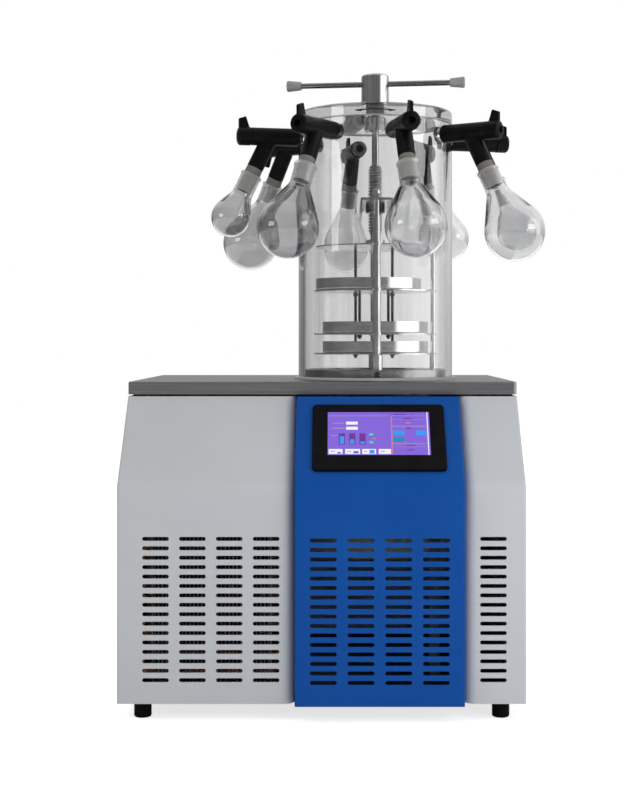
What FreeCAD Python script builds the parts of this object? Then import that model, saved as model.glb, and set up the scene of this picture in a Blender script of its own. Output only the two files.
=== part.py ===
import FreeCAD, Part
import math
import os
import re
import Sketcher
from FreeCAD import Placement, Rotation, Vector

# Benchtop freeze dryer: a sheet metal cabinet over a refrigerated cold trap, with a clear
# drying chamber, a stoppering rack turned from a T-handle, and eight flask valves.
# Frame: origin on the floor under the middle of the cabinet, +X to the right as seen from
# the front, +Y to the rear, +Z up.  Millimetres and degrees.

doc = FreeCAD.newDocument("FreezeDryer")
sheet = doc.addObject("Spreadsheet::Sheet", "Sizes")

SIZES = {
    # cabinet
    "cab_width": 615, "cab_depth": 570, "foot_high": 27, "foot_dia": 26.5, "foot_inset": 35,
    "slant_start": 354, "slant_top": 484, "slant_back": 119, "slant_bend": 25,
    "cover_wall": 1.5, "side_bend": 18, "corner_bend": 4, "return_deep": 28,
    "panel_centre": 87, "panel_width": 254, "panel_proud": 18, "panel_wall": 2, "panel_corner": 3,
    "panel_back": 24,
    "shadow_gap": 3, "plate_thick": 20, "plate_sheet": 2, "plate_corner": 6, "plate_edge": 2,
    # vent slots
    "slot_long": 40, "slot_wide": 6, "slot_pitch": 14.13, "slot_low": 62.7, "slot_rows": 16,
    "left_vent": -249, "left_vent_pitch": 55.33, "panel_vent": 3, "panel_vent_pitch": 56.1,
    "front_vent_columns": 4, "right_vent": 258, "rear_vent": -230, "rear_vent_pitch": 60,
    "rear_vent_columns": 4, "rear_vent_rows": 11, "rear_vent_up": 150,
    # display
    "bezel_wide": 203, "bezel_tall": 127, "bezel_thick": 6, "bezel_corner": 7,
    "screen_wide": 156, "screen_tall": 84, "screen_up": 6, "screen_thick": 2.5, "screen_rim": 0.8,
    "control_wide": 180, "control_tall": 100, "control_deep": 35,
    # frame
    "tube_size": 20, "pan_thick": 2, "pan_inset": 27, "bracket_wide": 16, "bracket_x": 171,
    # cold trap and cooling
    "trap_bore": 105, "trap_wall": 1.5, "trap_deep": 270, "trap_flange": 125, "trap_flange_thick": 2,
    "trap_dish": 9, "trap_bend": 8,
    "coil_tube": 4, "coil_pitch": 18, "coil_turns": 8, "foam_thick": 20, "foam_top": 428,
    "compressor_x": -185, "compressor_back": 145, "compressor_dia": 142, "compressor_high": 195,
    "seam_share": 0.55, "seam_proud": 5, "seam_high": 6, "sole_long": 180, "sole_deep": 160, "sole_thick": 4,
    "grommet_dia": 22, "grommet_high": 12, "grommet_x": 74, "grommet_y": 64, "mount_rise": 14,
    "terminal_deep": 24, "terminal_wide": 48, "terminal_tall": 56, "terminal_up": 45,
    "fin_thick": 0.8, "fin_pitch": 6, "fin_count": 30, "fin_left": -256, "fin_tall": 232,
    "fin_deep": 30, "fin_back": 57, "fin_low": 44, "pipe_dia": 9.5, "pipe_rise": 28, "pipe_runs": 8,
    "fan_dia": 160, "fan_gap": 4, "fan_blades": 5, "fan_hub": 44, "fan_deep": 24, "fan_sheet": 2,
    "motor_dia": 68, "motor_deep": 42, "motor_back": 10, "strut_wide": 8, "strut_thick": 5,
    # rear fittings
    "port_bore": 13, "port_wall": 1.5, "port_flange": 20, "port_out": 28, "port_up": 448,
    "inlet_x": -230, "inlet_up": 95, "inlet_wide": 34, "inlet_tall": 72, "inlet_deep": 24,
    "inlet_rim": 2, "socket_wide": 24, "socket_tall": 17, "socket_deep": 15,
    "drain_up": 150, "drain_dia": 12, "drain_wall": 2, "drain_bend": 20, "drain_out": 60, "drain_back": 8,
    "valve_wide": 26, "valve_deep": 30, "valve_tall": 24, "drain_collar": 13,
    # drying chamber
    "axis_x": 88, "axis_y": 24, "seal_high": 4, "seal_lip": 6.5, "tube_out": 131, "tube_wall": 10,
    "tube_high": 427.5, "lid_seal": 1.5, "lid_thick": 20, "lid_edge": 4,
    # T-handle and its shaft
    "collar_high": 8, "collar_dia": 47, "gland_dia": 32, "gland_nut": 38, "gland_drop": 14,
    "hub_dia": 47.5, "hub_high": 58, "hub_edge": 5, "turn_gap": 0.2, "hub_bore": 30,
    "bar_dia": 9.5, "bar_up": 42, "bar_span": 306, "bar_turn": -8, "cap_long": 25, "cap_small": 14.5,
    "cap_large": 19.5, "cap_wall": 5, "shaft_dia": 12, "shaft_low": 760, "run_fit": 0.05,
    # stoppering rack
    "rack_gap": 1, "rack_high": 17, "rack_web": 3, "rack_wall": 4, "mouth_inset": 50,
    "post_inset": 21, "post_dia": 12.5, "side_post_dia": 8, "foot_post": 19, "side_foot_post": 11,
    "bridge_wide": 52.5, "bridge_web": 4, "bridge_wall": 3, "bridge_drop": 26, "bridge_up": 806,
    "nut_dia": 33, "nut_high": 13, "screw_dia": 25, "screw_low": 744, "screw_top": 870,
    "neck_dia": 16, "neck_high": 10, "boss_dia": 33, "boss_high": 12,
    "press_up": 730, "press_inset": 19, "shelf_inset": 15.5, "shelf_thick": 2, "top_up": 655,
    "middle_up": 582, "bottom_up": 549, "tray_inset": 30, "tray_high": 20, "tray_wall": 1,
    "tray_shift": -11.4, "hanger_dia": 5, "hanger_inset": 23, "hanger_turn": 160,
    "hanger_apart": 7.61836, "hanger_nut": 8.6, "notch_gap": 0.6, "side_post_top": 752,
    "shaft_flat": 9, "stud_dia": 8, "side_stud_dia": 5, "collar_wide": 17.2, "nut_pass": 12.6,
    # flask valves and flasks
    "port_up_line": 915, "port_count": 8, "first_port": 12.5, "nipple_dia": 20, "nipple_bore": 14,
    "nipple_inside": 4, "nipple_outside": 21, "body_gap": 1, "body_long": 83, "body_dia": 30,
    "branch_along": 50, "branch_lean": 26, "branch_dia": 28, "branch_long": 60, "plug_dia": 20,
    "knob_dia": 31, "knob_long": 22.5, "knob_lip": 0.8, "spout_dia": 19, "spout_bore": 12, "fin_top": 18,
    "fin_base": 20, "fin_tip": 12, "knob_fin": 6, "cone_show": 12, "cone_long": 32, "cone_dia": 28.5,
    "glass_wall": 2, "rim_high": 4, "rim_dia": 37, "neck_out": 34, "neck_long": 34,
    "large_bulb": 98, "large_long": 162, "medium_bulb": 82, "medium_long": 140,
    "small_bulb": 66, "small_long": 113,
}
for row, (alias, value) in enumerate(SIZES.items(), start=1):
    sheet.set(f"A{row}", alias.replace("_", " "))
    sheet.set(f"B{row}", str(value))
    sheet.setAlias(f"B{row}", alias)
doc.recompute()

# Places worked out from the driving sizes, in the order in which they build on each other.
places = doc.addObject("App::VarSet", "Places")
PLACES = {
    "slant": "atan(slant_back / (slant_top - slant_start))",
    "half_tan": "tan(slant / 2)",
    "slant_cos": "cos(slant)",
    "front": "-cab_depth / 2",
    "rear": "cab_depth / 2",
    "side": "cab_width / 2",
    "panel_low_x": "panel_centre - panel_width / 2",
    "panel_high_x": "panel_centre + panel_width / 2",
    "inside": "side - cover_wall",
    "rear_inside": "rear - cover_wall",
    "deck_low": "slant_top + shadow_gap",
    "deck": "deck_low + plate_thick",
    "skin_low": "deck - plate_sheet",
    "tube_low": "deck + seal_high",
    "seal_out": "tube_out + seal_lip",
    "rack_radius": "tube_out - tube_wall - rack_gap",
    "rack_dia": "2 * rack_radius",
    "rack_mouth": "rack_radius - mouth_inset",
    "post_ring": "rack_radius - post_inset",
    "hanger_ring": "rack_radius - hanger_inset",
    "shelf_hanger_turn": "hanger_turn + hanger_apart / hanger_ring * 180 / pi",
    "press_dia": "2 * (rack_radius - press_inset)",
    "shelf_dia": "2 * (rack_radius - shelf_inset)",
    "tray_dia": "2 * (rack_radius - tray_inset)",
    "nipple_in": "tube_out - tube_wall - nipple_inside",
    "nipple_end": "tube_out + nipple_outside",
    "body_start": "tube_out + body_gap",
    "body_end": "body_start + body_long",
    "branch_at": "body_start + branch_along",
    "knob_end": "body_end + knob_long",
    "tube_top": "tube_low + tube_high",
    "lid_low": "tube_top + lid_seal",
    "lid_top": "lid_low + lid_thick",
    "hub_low": "lid_top + collar_high + turn_gap",
    "hub_top": "hub_low + hub_high",
    "bar_line": "hub_low + bar_up",
    "trap_out": "trap_bore + trap_wall",
    "trap_low": "deck - trap_deep",
    "coil_ring": "trap_out + coil_tube + 0.3",
    "foam_in": "coil_ring + coil_tube + 0.5",
    "drain_bore": "drain_dia / 2 - drain_wall",
    "pan_top": "foot_high + pan_thick",
    "foam_low": "trap_low - foam_thick",
    "coil_low": "trap_low + 20",
    "compressor_y": "rear - compressor_back",
    "fin_y": "front + fin_back",
    "pipe_low": "fin_low + fin_tall / 2 - pipe_rise * (pipe_runs - 1) / 2",
    "fin_right": "fin_left + fin_pitch * (fin_count - 1) + fin_thick",
    "fan_x": "(fin_left + fin_right) / 2",
    "fan_up": "fin_low + fin_tall / 2",
    "fan_front": "fin_y + fin_deep / 2",
    "rack_top": "deck + rack_high",
    "plug_start": "branch_at - branch_dia / 2 - 3",
    "panel_slant_z": "slant_start + panel_proud * half_tan",
    "panel_top_y": "front + slant_back - panel_proud / slant_cos",
    "slant_mid_y": "(front - panel_proud + panel_top_y) / 2",
    "slant_mid_z": "(panel_slant_z + slant_top) / 2",
}
WORD = re.compile(r"[a-z][a-z0-9_]*")


# An expression with each size and place written as a reference to its holder.
def linked(text):
    def owner(match):
        word = match.group(0)
        if word in SIZES:
            return "Sizes." + word
        return "Places." + word if word in PLACES else word
    return WORD.sub(owner, str(text))


for name, text in PLACES.items():
    kind = "App::PropertyAngle" if name == "slant" else "App::PropertyFloat"
    places.addProperty(kind, name)
    places.setExpression(name, linked(text))
doc.recompute()


# The present number of a size or a place.
def size(name):
    return float(sheet.get(name)) if name in SIZES else float(getattr(places, name))


def bind(thing, prop, text):
    thing.setExpression(prop, linked(text))


# Puts a thing at bound coordinates, turned about an axis by a bound angle.
def put(thing, x="0", y="0", z="0", axis=None, angle="0"):
    if axis:
        thing.Placement = Placement(Vector(), Rotation(axis, 1))
        bind(thing, ".Placement.Rotation.Angle", angle)
    for side, text in zip("xyz", (x, y, z)):
        bind(thing, ".Placement.Base." + side, text)
    return thing


X_AXIS, Y_AXIS, Z_AXIS = Vector(1, 0, 0), Vector(0, 1, 0), Vector(0, 0, 1)


# --- sketches and features -------------------------------------------------------------

def new_sketch(body, plane, lift="0"):
    sketch = body.newObject("Sketcher::SketchObject", body.Name + "_sketch")
    holder = next(item for item in body.Origin.OriginFeatures if item.Role == plane)
    sketch.AttachmentSupport = [(holder, "")]
    sketch.MapMode = "FlatFace"
    bind(sketch, "AttachmentOffset.Base.z", lift)
    return sketch


# A closed outline whose corners are each tied to the sketch's origin.
def draw_outline(sketch, corners):
    count = len(corners)
    start = sketch.GeometryCount
    ring = [Vector(100 * math.cos(2 * math.pi * k / count), 100 * math.sin(2 * math.pi * k / count), 0)
            for k in range(count)]
    for k in range(count):
        sketch.addGeometry(Part.LineSegment(ring[k], ring[(k + 1) % count]), False)
    for k in range(count):
        after = start + (k + 1) % count
        sketch.addConstraint(Sketcher.Constraint("Coincident", start + k, 2, after, 1))
    for k, (across, up) in enumerate(corners):
        for way, text, guess in (("DistanceX", across, ring[k].x), ("DistanceY", up, ring[k].y)):
            index = sketch.addConstraint(Sketcher.Constraint(way, -1, 1, start + k, 1, guess))
            bind(sketch, f"Constraints[{index}]", text)


def draw_circle(sketch, across, up, radius):
    index = sketch.addGeometry(Part.Circle(Vector(50, 50, 0), Z_AXIS, 10), False)
    for way, text in (("DistanceX", across), ("DistanceY", up)):
        tie = sketch.addConstraint(Sketcher.Constraint(way, -1, 1, index, 3, 50))
        bind(sketch, f"Constraints[{tie}]", text)
    tie = sketch.addConstraint(Sketcher.Constraint("Radius", index, 10))
    bind(sketch, f"Constraints[{tie}]", radius)


def new_body(name):
    return doc.addObject("PartDesign::Body", name)


def corner_of(sketch, k):
    return sketch.Geometry[k].StartPoint


def edges_where(feature, test):
    return [f"Edge{k}" for k, edge in enumerate(feature.Shape.Edges, start=1) if test(edge)]


def round_edges(body, feature, test, radius, kind="Fillet"):
    names = edges_where(feature, test)
    if not names:
        raise ValueError(body.Name + " has no such edge to round")
    rounding = body.newObject("PartDesign::" + kind, body.Name + "_" + kind.lower())
    rounding.Base = (feature, names)
    bind(rounding, "Radius" if kind == "Fillet" else "Size", radius)
    doc.recompute()
    return rounding


# A piece turned about its own Z axis from an outline of (radius, height) corners.
# rounds gives a radius for the edges at some of those corners.
def turned(name, corners, rounds=None):
    body = new_body(name)
    sketch = new_sketch(body, "XZ_Plane")
    draw_outline(sketch, corners)
    feature = body.newObject("PartDesign::Revolution", name + "_turn")
    feature.Profile = sketch
    feature.ReferenceAxis = (sketch, ["V_Axis"])
    feature.Angle = 360
    doc.recompute()
    for k, radius in (rounds or {}).items():
        at = corner_of(sketch, k)

        def here(edge, at=at):
            curve = edge.Curve
            return (isinstance(curve, Part.Circle) and abs(curve.Radius - at.x) < 1e-4
                    and abs(curve.Center.z - at.y) < 1e-4 and curve.Axis.cross(Z_AXIS).Length < 1e-6)
        feature = round_edges(body, feature, here, radius)
    return body


# A piece of constant section: an outline on an origin plane, padded along its normal.
def prism(name, plane, corners, start, length, rounds=None):
    body = new_body(name)
    sketch = new_sketch(body, plane, start)
    draw_outline(sketch, corners)
    feature = body.newObject("PartDesign::Pad", name + "_pad")
    feature.Profile = sketch
    bind(feature, "Length", length)
    doc.recompute()
    for k, radius in (rounds or {}).items():
        at = sketch.Placement.multVec(corner_of(sketch, k))
        normal = sketch.Placement.Rotation.multVec(Z_AXIS)

        def here(edge, at=at, normal=normal):
            if not isinstance(edge.Curve, Part.Line):
                return False
            offset = edge.Vertexes[0].Point - at
            along = edge.tangentAt(edge.FirstParameter).cross(normal).Length < 1e-6
            return along and offset.cross(normal).Length < 1e-4
        feature = round_edges(body, feature, here, radius)
    return body


def pocket(body, plane, start, length, corners=None, circles=(), away=True):
    sketch = new_sketch(body, plane, start)
    if corners:
        draw_outline(sketch, corners)
    for across, up, radius in circles:
        draw_circle(sketch, across, up, radius)
    before = body.Shape.Volume
    feature = body.newObject("PartDesign::Pocket", body.Name + "_pocket")
    feature.Profile = sketch
    feature.Reversed = away
    bind(feature, "Length", length)
    doc.recompute()
    if body.Shape.Volume > before - 1e-3:
        raise ValueError(body.Name + ": a pocket cut nothing")
    return feature


def pad_on(body, plane, start, length, corners=None, circles=()):
    sketch = new_sketch(body, plane, start)
    if corners:
        draw_outline(sketch, corners)
    for across, up, radius in circles:
        draw_circle(sketch, across, up, radius)
    feature = body.newObject("PartDesign::Pad", body.Name + "_pad")
    feature.Profile = sketch
    bind(feature, "Length", length)
    doc.recompute()
    return feature


# --- primitives and booleans -----------------------------------------------------------

def block(name, x, y, z, long, deep, high):
    thing = doc.addObject("Part::Box", name)
    for prop, text in (("Length", long), ("Width", deep), ("Height", high)):
        bind(thing, prop, text)
    return put(thing, x, y, z)


def rod(name, radius, length, x="0", y="0", z="0", axis=None, angle="0"):
    thing = doc.addObject("Part::Cylinder", name)
    bind(thing, "Radius", radius)
    bind(thing, "Height", length)
    return put(thing, x, y, z, axis, angle)


def group(name, things):
    thing = doc.addObject("Part::Compound", name)
    thing.Links = things
    return thing


def joined(name, things):
    thing = doc.addObject("Part::MultiFuse", name)
    thing.Shapes = things
    return thing


def cut(name, base, *tools):
    thing = doc.addObject("Part::Cut", name)
    thing.Base = base
    thing.Tool = tools[0] if len(tools) == 1 else group(name + "_tools", list(tools))
    return thing


def shaped(name, shape):
    thing = doc.addObject("Part::Feature", name)
    thing.Shape = shape
    return thing


nodes = []


def node(thing, label):
    thing.Label = label
    nodes.append(thing)
    return thing


# --- cabinet ---------------------------------------------------------------------------

# The cabinet's side outline (Y, Z), moved inwards by a distance square to its faces.
def side_outline(inwards, low, back):
    return [(f"front + ({inwards})", low),
            (f"front + ({inwards})", f"slant_start - ({inwards}) * half_tan"),
            (f"front + slant_back + ({inwards}) / slant_cos", "slant_top"),
            (back, "slant_top"), (back, low)]


# Rounded slots through the front, one per column and row, as one cutting tool.
def front_slots(name, columns):
    half = (size("slot_long") - size("slot_wide")) / 2
    radius = size("slot_wide") / 2
    front = size("front") - size("panel_proud") - 5
    slots = []
    for x in columns:
        for row in range(int(size("slot_rows"))):
            z = size("slot_low") + row * size("slot_pitch")
            right, left = x + half, x - half
            edges = [Part.LineSegment(Vector(left, front, z - radius), Vector(right, front, z - radius)),
                     Part.Arc(Vector(right, front, z - radius), Vector(right + radius, front, z),
                              Vector(right, front, z + radius)),
                     Part.LineSegment(Vector(right, front, z + radius), Vector(left, front, z + radius)),
                     Part.Arc(Vector(left, front, z + radius), Vector(left - radius, front, z),
                              Vector(left, front, z - radius))]
            face = Part.Face(Part.Wire([edge.toShape() for edge in edges]))
            slots.append(face.extrude(Vector(0, size("panel_proud") + 15, 0)))
    return shaped(name, Part.Compound(slots))


def column_places(first, pitch):
    return [size(first) + k * size(pitch) for k in range(int(size("front_vent_columns")))]


# Rounds the tall front edge of a cover's body at one end of its width.
def round_front_edge(body, at_high_x, front_y, radius):
    box = body.Shape.BoundBox
    side_x = box.XMax if at_high_x else box.XMin

    def upright(edge):
        points = [edge.valueAt(edge.FirstParameter), edge.valueAt(edge.LastParameter)]
        if abs(points[0].z - points[1].z) < 40 or max(point.z for point in points) > size("slant_top") - 1:
            return False
        at_side = all(abs(point.x - side_x) < 1e-4 for point in points)
        return at_side and any(abs(point.y - front_y) < 1e-4 for point in points)
    round_edges(body, body.Tip, upright, radius)


# A side cover is one folded sheet: side wall, front, slanted front and a rounded return
# towards the centre panel.  It is open at the bottom, top, rear and middle.
def side_cover(label, outer_x, inner_x, sign, columns):
    wall = "cover_wall"
    low_x, high_x = (outer_x, inner_x) if sign < 0 else (inner_x, outer_x)
    width = f"({high_x}) - ({low_x})"
    outside = prism(label + "_outside", "YZ_Plane", side_outline("0", "foot_high", "rear"),
                    low_x, width, {1: "slant_bend"})
    inside = prism(label + "_inside", "YZ_Plane",
                   side_outline(wall, "foot_high - 5", "rear + 5")[:2]
                   + [(f"front + slant_back + {wall} / slant_cos + 5 * tan(slant)", "slant_top + 5"),
                      ("rear + 5", "slant_top + 5"), ("rear + 5", "foot_high - 5")],
                   f"({low_x}) + {wall}", f"{width} - 2 * {wall}", {1: f"slant_bend - {wall}"})
    for body, less, front_y in ((outside, "0", size("front")), (inside, wall, size("front") + size(wall))):
        round_front_edge(body, sign < 0, front_y, f"side_bend - {less}")
        round_front_edge(body, sign > 0, front_y, f"corner_bend - {less}")
    opening = prism(label + "_middle", "YZ_Plane",
                    side_outline("return_deep", "foot_high - 5", "rear + 5")[:2]
                    + [("front + slant_back + return_deep / slant_cos + 5 * tan(slant)", "slant_top + 5"),
                       ("rear + 5", "slant_top + 5"), ("rear + 5", "foot_high - 5")],
                    f"({inner_x}) - 3", "6")
    return node(cut(label, outside, inside, opening, front_slots(label + "_slots", columns)), label)


side_cover("left_cover", "-side", "panel_low_x", -1, column_places("left_vent", "left_vent_pitch"))
side_cover("right_cover", "side", "panel_high_x", 1, [size("right_vent")])

# The centre panel stands proud of the covers, closed at its top and bottom edges.
proud, behind = "-panel_proud", "panel_wall - panel_proud"
panel_outside = prism("front_cover_outside", "YZ_Plane",
                      side_outline(proud, "foot_high", "rear")[:3]
                      + [("front + slant_back + panel_back / slant_cos", "slant_top"),
                         ("front + panel_back", "slant_start - panel_back * half_tan"),
                         ("front + panel_back", "foot_high")],
                      "panel_low_x", "panel_width", {1: "slant_bend"})
panel_inside = prism("front_cover_inside", "YZ_Plane",
                     [(f"front + {behind}", "foot_high + panel_wall"),
                      (f"front + {behind}", f"slant_start - ({behind}) * half_tan"),
                      (f"front + slant_back + ({behind}) / slant_cos - panel_wall * tan(slant)",
                       "slant_top - panel_wall"),
                      ("front + slant_back + (panel_back + 12) / slant_cos", "slant_top - panel_wall"),
                      ("front + panel_back + 12", "slant_start - (panel_back + 12) * half_tan"),
                      ("front + panel_back + 12", "foot_high + panel_wall")],
                     "panel_low_x + panel_wall", "panel_width - 2 * panel_wall",
                     {1: "slant_bend - panel_wall"})
front_y = size("front") - size("panel_proud")


def panel_side_edge(edge):
    points = [edge.valueAt(edge.FirstParameter), edge.valueAt(edge.LastParameter)]
    if abs(points[0].x - points[1].x) > 1e-4 or points[0].y > size("slant_mid_y") + 200:
        return False
    return all(abs(point.y - front_y) < 1e-4 for point in points) and abs(points[0].z - points[1].z) > 40


round_edges(panel_outside, panel_outside.Tip, panel_side_edge, "panel_corner")
node(cut("front_cover", panel_outside, panel_inside,
         front_slots("front_cover_slots", column_places("panel_vent", "panel_vent_pitch"))), "front_cover")

# The rear cover is a flat sheet between the side walls, with vents and three openings.
rear_plate = block("rear_cover_sheet", "-inside", "rear_inside", "pan_top", "2 * inside", "cover_wall",
                   "deck_low - pan_top")
rear_slots = []
for column in range(int(size("rear_vent_columns"))):
    for row in range(int(size("rear_vent_rows"))):
        x = size("rear_vent") + column * size("rear_vent_pitch")
        z = size("slot_low") + size("rear_vent_up") + row * size("slot_pitch")
        rear_slots.append(Part.makeBox(size("slot_long"), 10, size("slot_wide"),
                                       Vector(x - size("slot_long") / 2, size("rear_inside") - 4, z)))
port_hole = rod("rear_port_hole", "port_bore + port_wall + 0.5", "20", "axis_x", "rear + 8", "port_up",
                X_AXIS, "90")
drain_hole = rod("rear_drain_hole", "drain_dia / 2 + 0.5", "20", "axis_x", "rear + 8", "drain_up",
                 X_AXIS, "90")
inlet_hole = block("rear_inlet_hole", "inlet_x - inlet_wide / 2 + 2", "rear_inside - 5",
                   "inlet_up - inlet_tall / 2 + 2", "inlet_wide - 4", "15", "inlet_tall - 4")
node(cut("rear_cover", rear_plate, shaped("rear_slots", Part.Compound(rear_slots)), port_hole, drain_hole,
         inlet_hole), "rear_cover")

# Top plate: a sheet with a turned-down rim and the mouth of the cold trap.
deck = prism("top_plate", "XY_Plane", [("-side", "front + slant_back"), ("side", "front + slant_back"),
                                       ("side", "rear"), ("-side", "rear")],
             "deck_low", "plate_thick", {k: "plate_corner" for k in range(4)})
round_edges(deck, deck.Tip, lambda edge: abs(edge.BoundBox.ZMin - size("deck")) < 1e-4
            and edge.BoundBox.ZLength < 1e-4, "plate_edge")
pocket(deck, "XY_Plane", "deck_low - 5", "plate_thick + 5 - plate_sheet",
       [("-side + plate_sheet", "front + slant_back + plate_sheet"),
        ("side - plate_sheet", "front + slant_back + plate_sheet"),
        ("side - plate_sheet", "rear - plate_sheet"), ("-side + plate_sheet", "rear - plate_sheet")])
pocket(deck, "XY_Plane", "deck_low - 5", "plate_thick + 10", circles=[("axis_x", "axis_y", "trap_out + 0.3")])
node(deck, "top_plate")

# Welded frame: base pan, four uprights, a top ring under the plate and a front bracket.
pan_front = "front + pan_inset + 2"
frame_parts = [block("frame_pan", "-inside", pan_front, "foot_high", "2 * inside",
                     f"rear_inside - ({pan_front})", "pan_thick")]
post_low, post_high = "pan_top", "skin_low - pan_top"
rail_front = "front + slant_back + return_deep / slant_cos + 1"
post_side = "(side - plate_sheet - 1)"
rear_line = "rear - plate_sheet - 1 - tube_size"
for tag, x in (("left", f"-{post_side}"), ("right", f"{post_side} - tube_size")):
    for place, y in (("fore", rail_front), ("aft", rear_line)):
        frame_parts.append(block(f"frame_{tag}_{place}", x, y, post_low, "tube_size", "tube_size", post_high))
    frame_parts.append(block(f"frame_{tag}_rail", x, rail_front, "skin_low - tube_size", "tube_size",
                             f"{rear_line} + tube_size - ({rail_front})", "tube_size"))
for place, y in (("fore", rail_front), ("aft", rear_line)):
    frame_parts.append(block(f"frame_{place}_rail", f"-{post_side}", y, "skin_low - tube_size",
                             f"2 * {post_side}", "tube_size", "tube_size"))
for tag, x in (("right", "bracket_x"), ("left", "panel_low_x + 12")):
    frame_parts.append(block(f"frame_{tag}_bracket", f"{x} - bracket_wide / 2", pan_front, post_low,
                             "bracket_wide", "3", "slant_start - foot_high - 40"))
node(joined("base_frame", frame_parts), "base_frame")

foot = turned("rubber_foot", [("0", "0"), ("foot_dia / 2", "0"), ("foot_dia / 2", "foot_high"),
                              ("0", "foot_high")], {1: "3"})
feet = [put(group(f"rubber_foot_{tag}_{place}", [foot]), x, y)
        for place, y in (("fore", "front + foot_inset"), ("aft", "rear - foot_inset"))
        for tag, x in (("left", "-(side - foot_inset)"), ("right", "side - foot_inset"))]
node(group("rubber_feet", feet), "rubber_feet")


# --- display on the slanted panel ------------------------------------------------------
# Local frame: X to the right, Y up the slant, Z square out of the panel's face.

def on_slant(thing):
    return put(thing, "panel_centre", "slant_mid_y", "slant_mid_z", X_AXIS, "90 - slant / 1deg")


def rectangle(wide, tall, up="0"):
    return [(f"-({wide}) / 2", f"{up} - ({tall}) / 2"), (f"({wide}) / 2", f"{up} - ({tall}) / 2"),
            (f"({wide}) / 2", f"{up} + ({tall}) / 2"), (f"-({wide}) / 2", f"{up} + ({tall}) / 2")]


bezel = prism("display_bezel", "XY_Plane", rectangle("bezel_wide", "bezel_tall"), "0", "bezel_thick",
              {k: "bezel_corner" for k in range(4)})
round_edges(bezel, bezel.Tip, lambda edge: abs(edge.BoundBox.ZMin - size("bezel_thick")) < 1e-4
            and edge.BoundBox.ZLength < 1e-4, "1.2")
pocket(bezel, "XY_Plane", "bezel_thick - screen_thick - screen_rim", "20",
       rectangle("screen_wide + 0.4", "screen_tall + 0.4", "screen_up"))
on_slant(node(bezel, "display_bezel"))
screen = prism("display_screen", "XY_Plane", rectangle("screen_wide", "screen_tall", "screen_up"),
               "bezel_thick - screen_thick - screen_rim", "screen_thick")
on_slant(node(screen, "display_screen"))
control = prism("control_box", "XY_Plane", rectangle("control_wide", "control_tall"),
                "-panel_wall - control_deep", "control_deep", {k: "3" for k in range(4)})
on_slant(node(control, "control_box"))


# --- cold trap and refrigeration -------------------------------------------------------

# The trap is a dished bottom, a rolled wall and a flange under the deck, welded together.
dish_top = "trap_low + trap_dish"
trap_dish = turned("trap_dish", [("drain_bore", "trap_low"), ("trap_out", "trap_low"), ("trap_out", dish_top),
                                 ("trap_bore", dish_top), ("trap_bore", "trap_low + trap_wall"),
                                 ("drain_bore", "trap_low + trap_wall")],
                   {1: "trap_bend", 4: "trap_bend - trap_wall"})
trap_shell = turned("trap_shell", [("trap_bore", dish_top), ("trap_out", dish_top), ("trap_out", "deck"),
                                   ("trap_bore", "deck")])
pocket(trap_shell, "XZ_Plane", "0", "trap_out + 10", circles=[("0", "port_up", "port_bore")], away=False)
trap_rim = turned("trap_rim", [("trap_out", "skin_low - trap_flange_thick"),
                               ("trap_flange", "skin_low - trap_flange_thick"), ("trap_flange", "skin_low"),
                               ("trap_out", "skin_low")])
trap = group("cold_trap", [trap_dish, trap_shell, trap_rim])
node(put(trap, "axis_x", "axis_y"), "cold_trap")

coil_high = "coil_turns * coil_pitch"
foam = turned("trap_insulation", [("drain_dia / 2 + 2", "foam_low"), ("foam_in + foam_thick", "foam_low"),
                                  ("foam_in + foam_thick", "foam_top"), ("foam_in", "foam_top"),
                                  ("foam_in", "trap_low"), ("drain_dia / 2 + 2", "trap_low")], {1: "6"})
pocket(foam, "YZ_Plane", "0", "foam_in + foam_thick + 10", away=False,
       circles=[("0", up, "pipe_dia / 2 + 0.5") for up in ("coil_low", f"coil_low + {coil_high}")])
node(put(foam, "axis_x", "axis_y"), "trap_insulation")

# Each turn of the coil is swept in quarters, which keeps its surfaces short.
COIL_ARCS = 4
spiral = doc.addObject("Part::Helix", "coil_spine")
bind(spiral, "Pitch", "coil_pitch")
bind(spiral, "Height", coil_high)
bind(spiral, "Radius", "coil_ring")
spiral.SegmentLength = 1 / COIL_ARCS
section = doc.addObject("Part::Circle", "coil_section")
bind(section, "Radius", "coil_tube")
put(section, "coil_ring", "0", "0", X_AXIS, "90")
coil = doc.addObject("Part::Sweep", "evaporator_coil")
coil.Sections = [section]
coil.Spine = (spiral, [f"Edge{k + 1}" for k in range(round(COIL_ARCS * size("coil_turns")))])
coil.Solid = True
coil.Frenet = True
node(put(coil, "axis_x", "axis_y", "coil_low", Z_AXIS, "180"), "evaporator_coil")

mount_high = "pan_top + mount_rise"
shell_out, seam_out = "compressor_dia / 2", "(compressor_dia / 2 + seam_proud)"
shell_top = f"{mount_high} + compressor_high"
seam_low = f"{mount_high} + compressor_high * seam_share - seam_high / 2"
shell = turned("compressor_shell", [("0", mount_high), (shell_out, mount_high), (shell_out, seam_low),
                                    (seam_out, seam_low), (seam_out, f"{seam_low} + seam_high"),
                                    (shell_out, f"{seam_low} + seam_high"), (shell_out, shell_top),
                                    ("0", shell_top)], {1: "22", 6: "32"})
put(shell, "compressor_x", "compressor_y")
sole = block("compressor_sole", "compressor_x - sole_long / 2", "compressor_y - sole_deep / 2",
             f"{mount_high} + 1 - sole_thick", "sole_long", "sole_deep", "sole_thick")
terminal = block("compressor_terminal", f"compressor_x - {shell_out} - terminal_deep / 2",
                 "compressor_y - terminal_wide / 2", f"{mount_high} + terminal_up", "terminal_deep",
                 "terminal_wide", "terminal_tall")
grommets = [rod(f"compressor_grommet_{tag}", "grommet_dia / 2", "grommet_high",
                f"compressor_x {across} grommet_x", f"compressor_y {along} grommet_y", "pan_top")
            for tag, across, along in (("a", "-", "-"), ("b", "+", "-"), ("c", "-", "+"), ("d", "+", "+"))]
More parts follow.
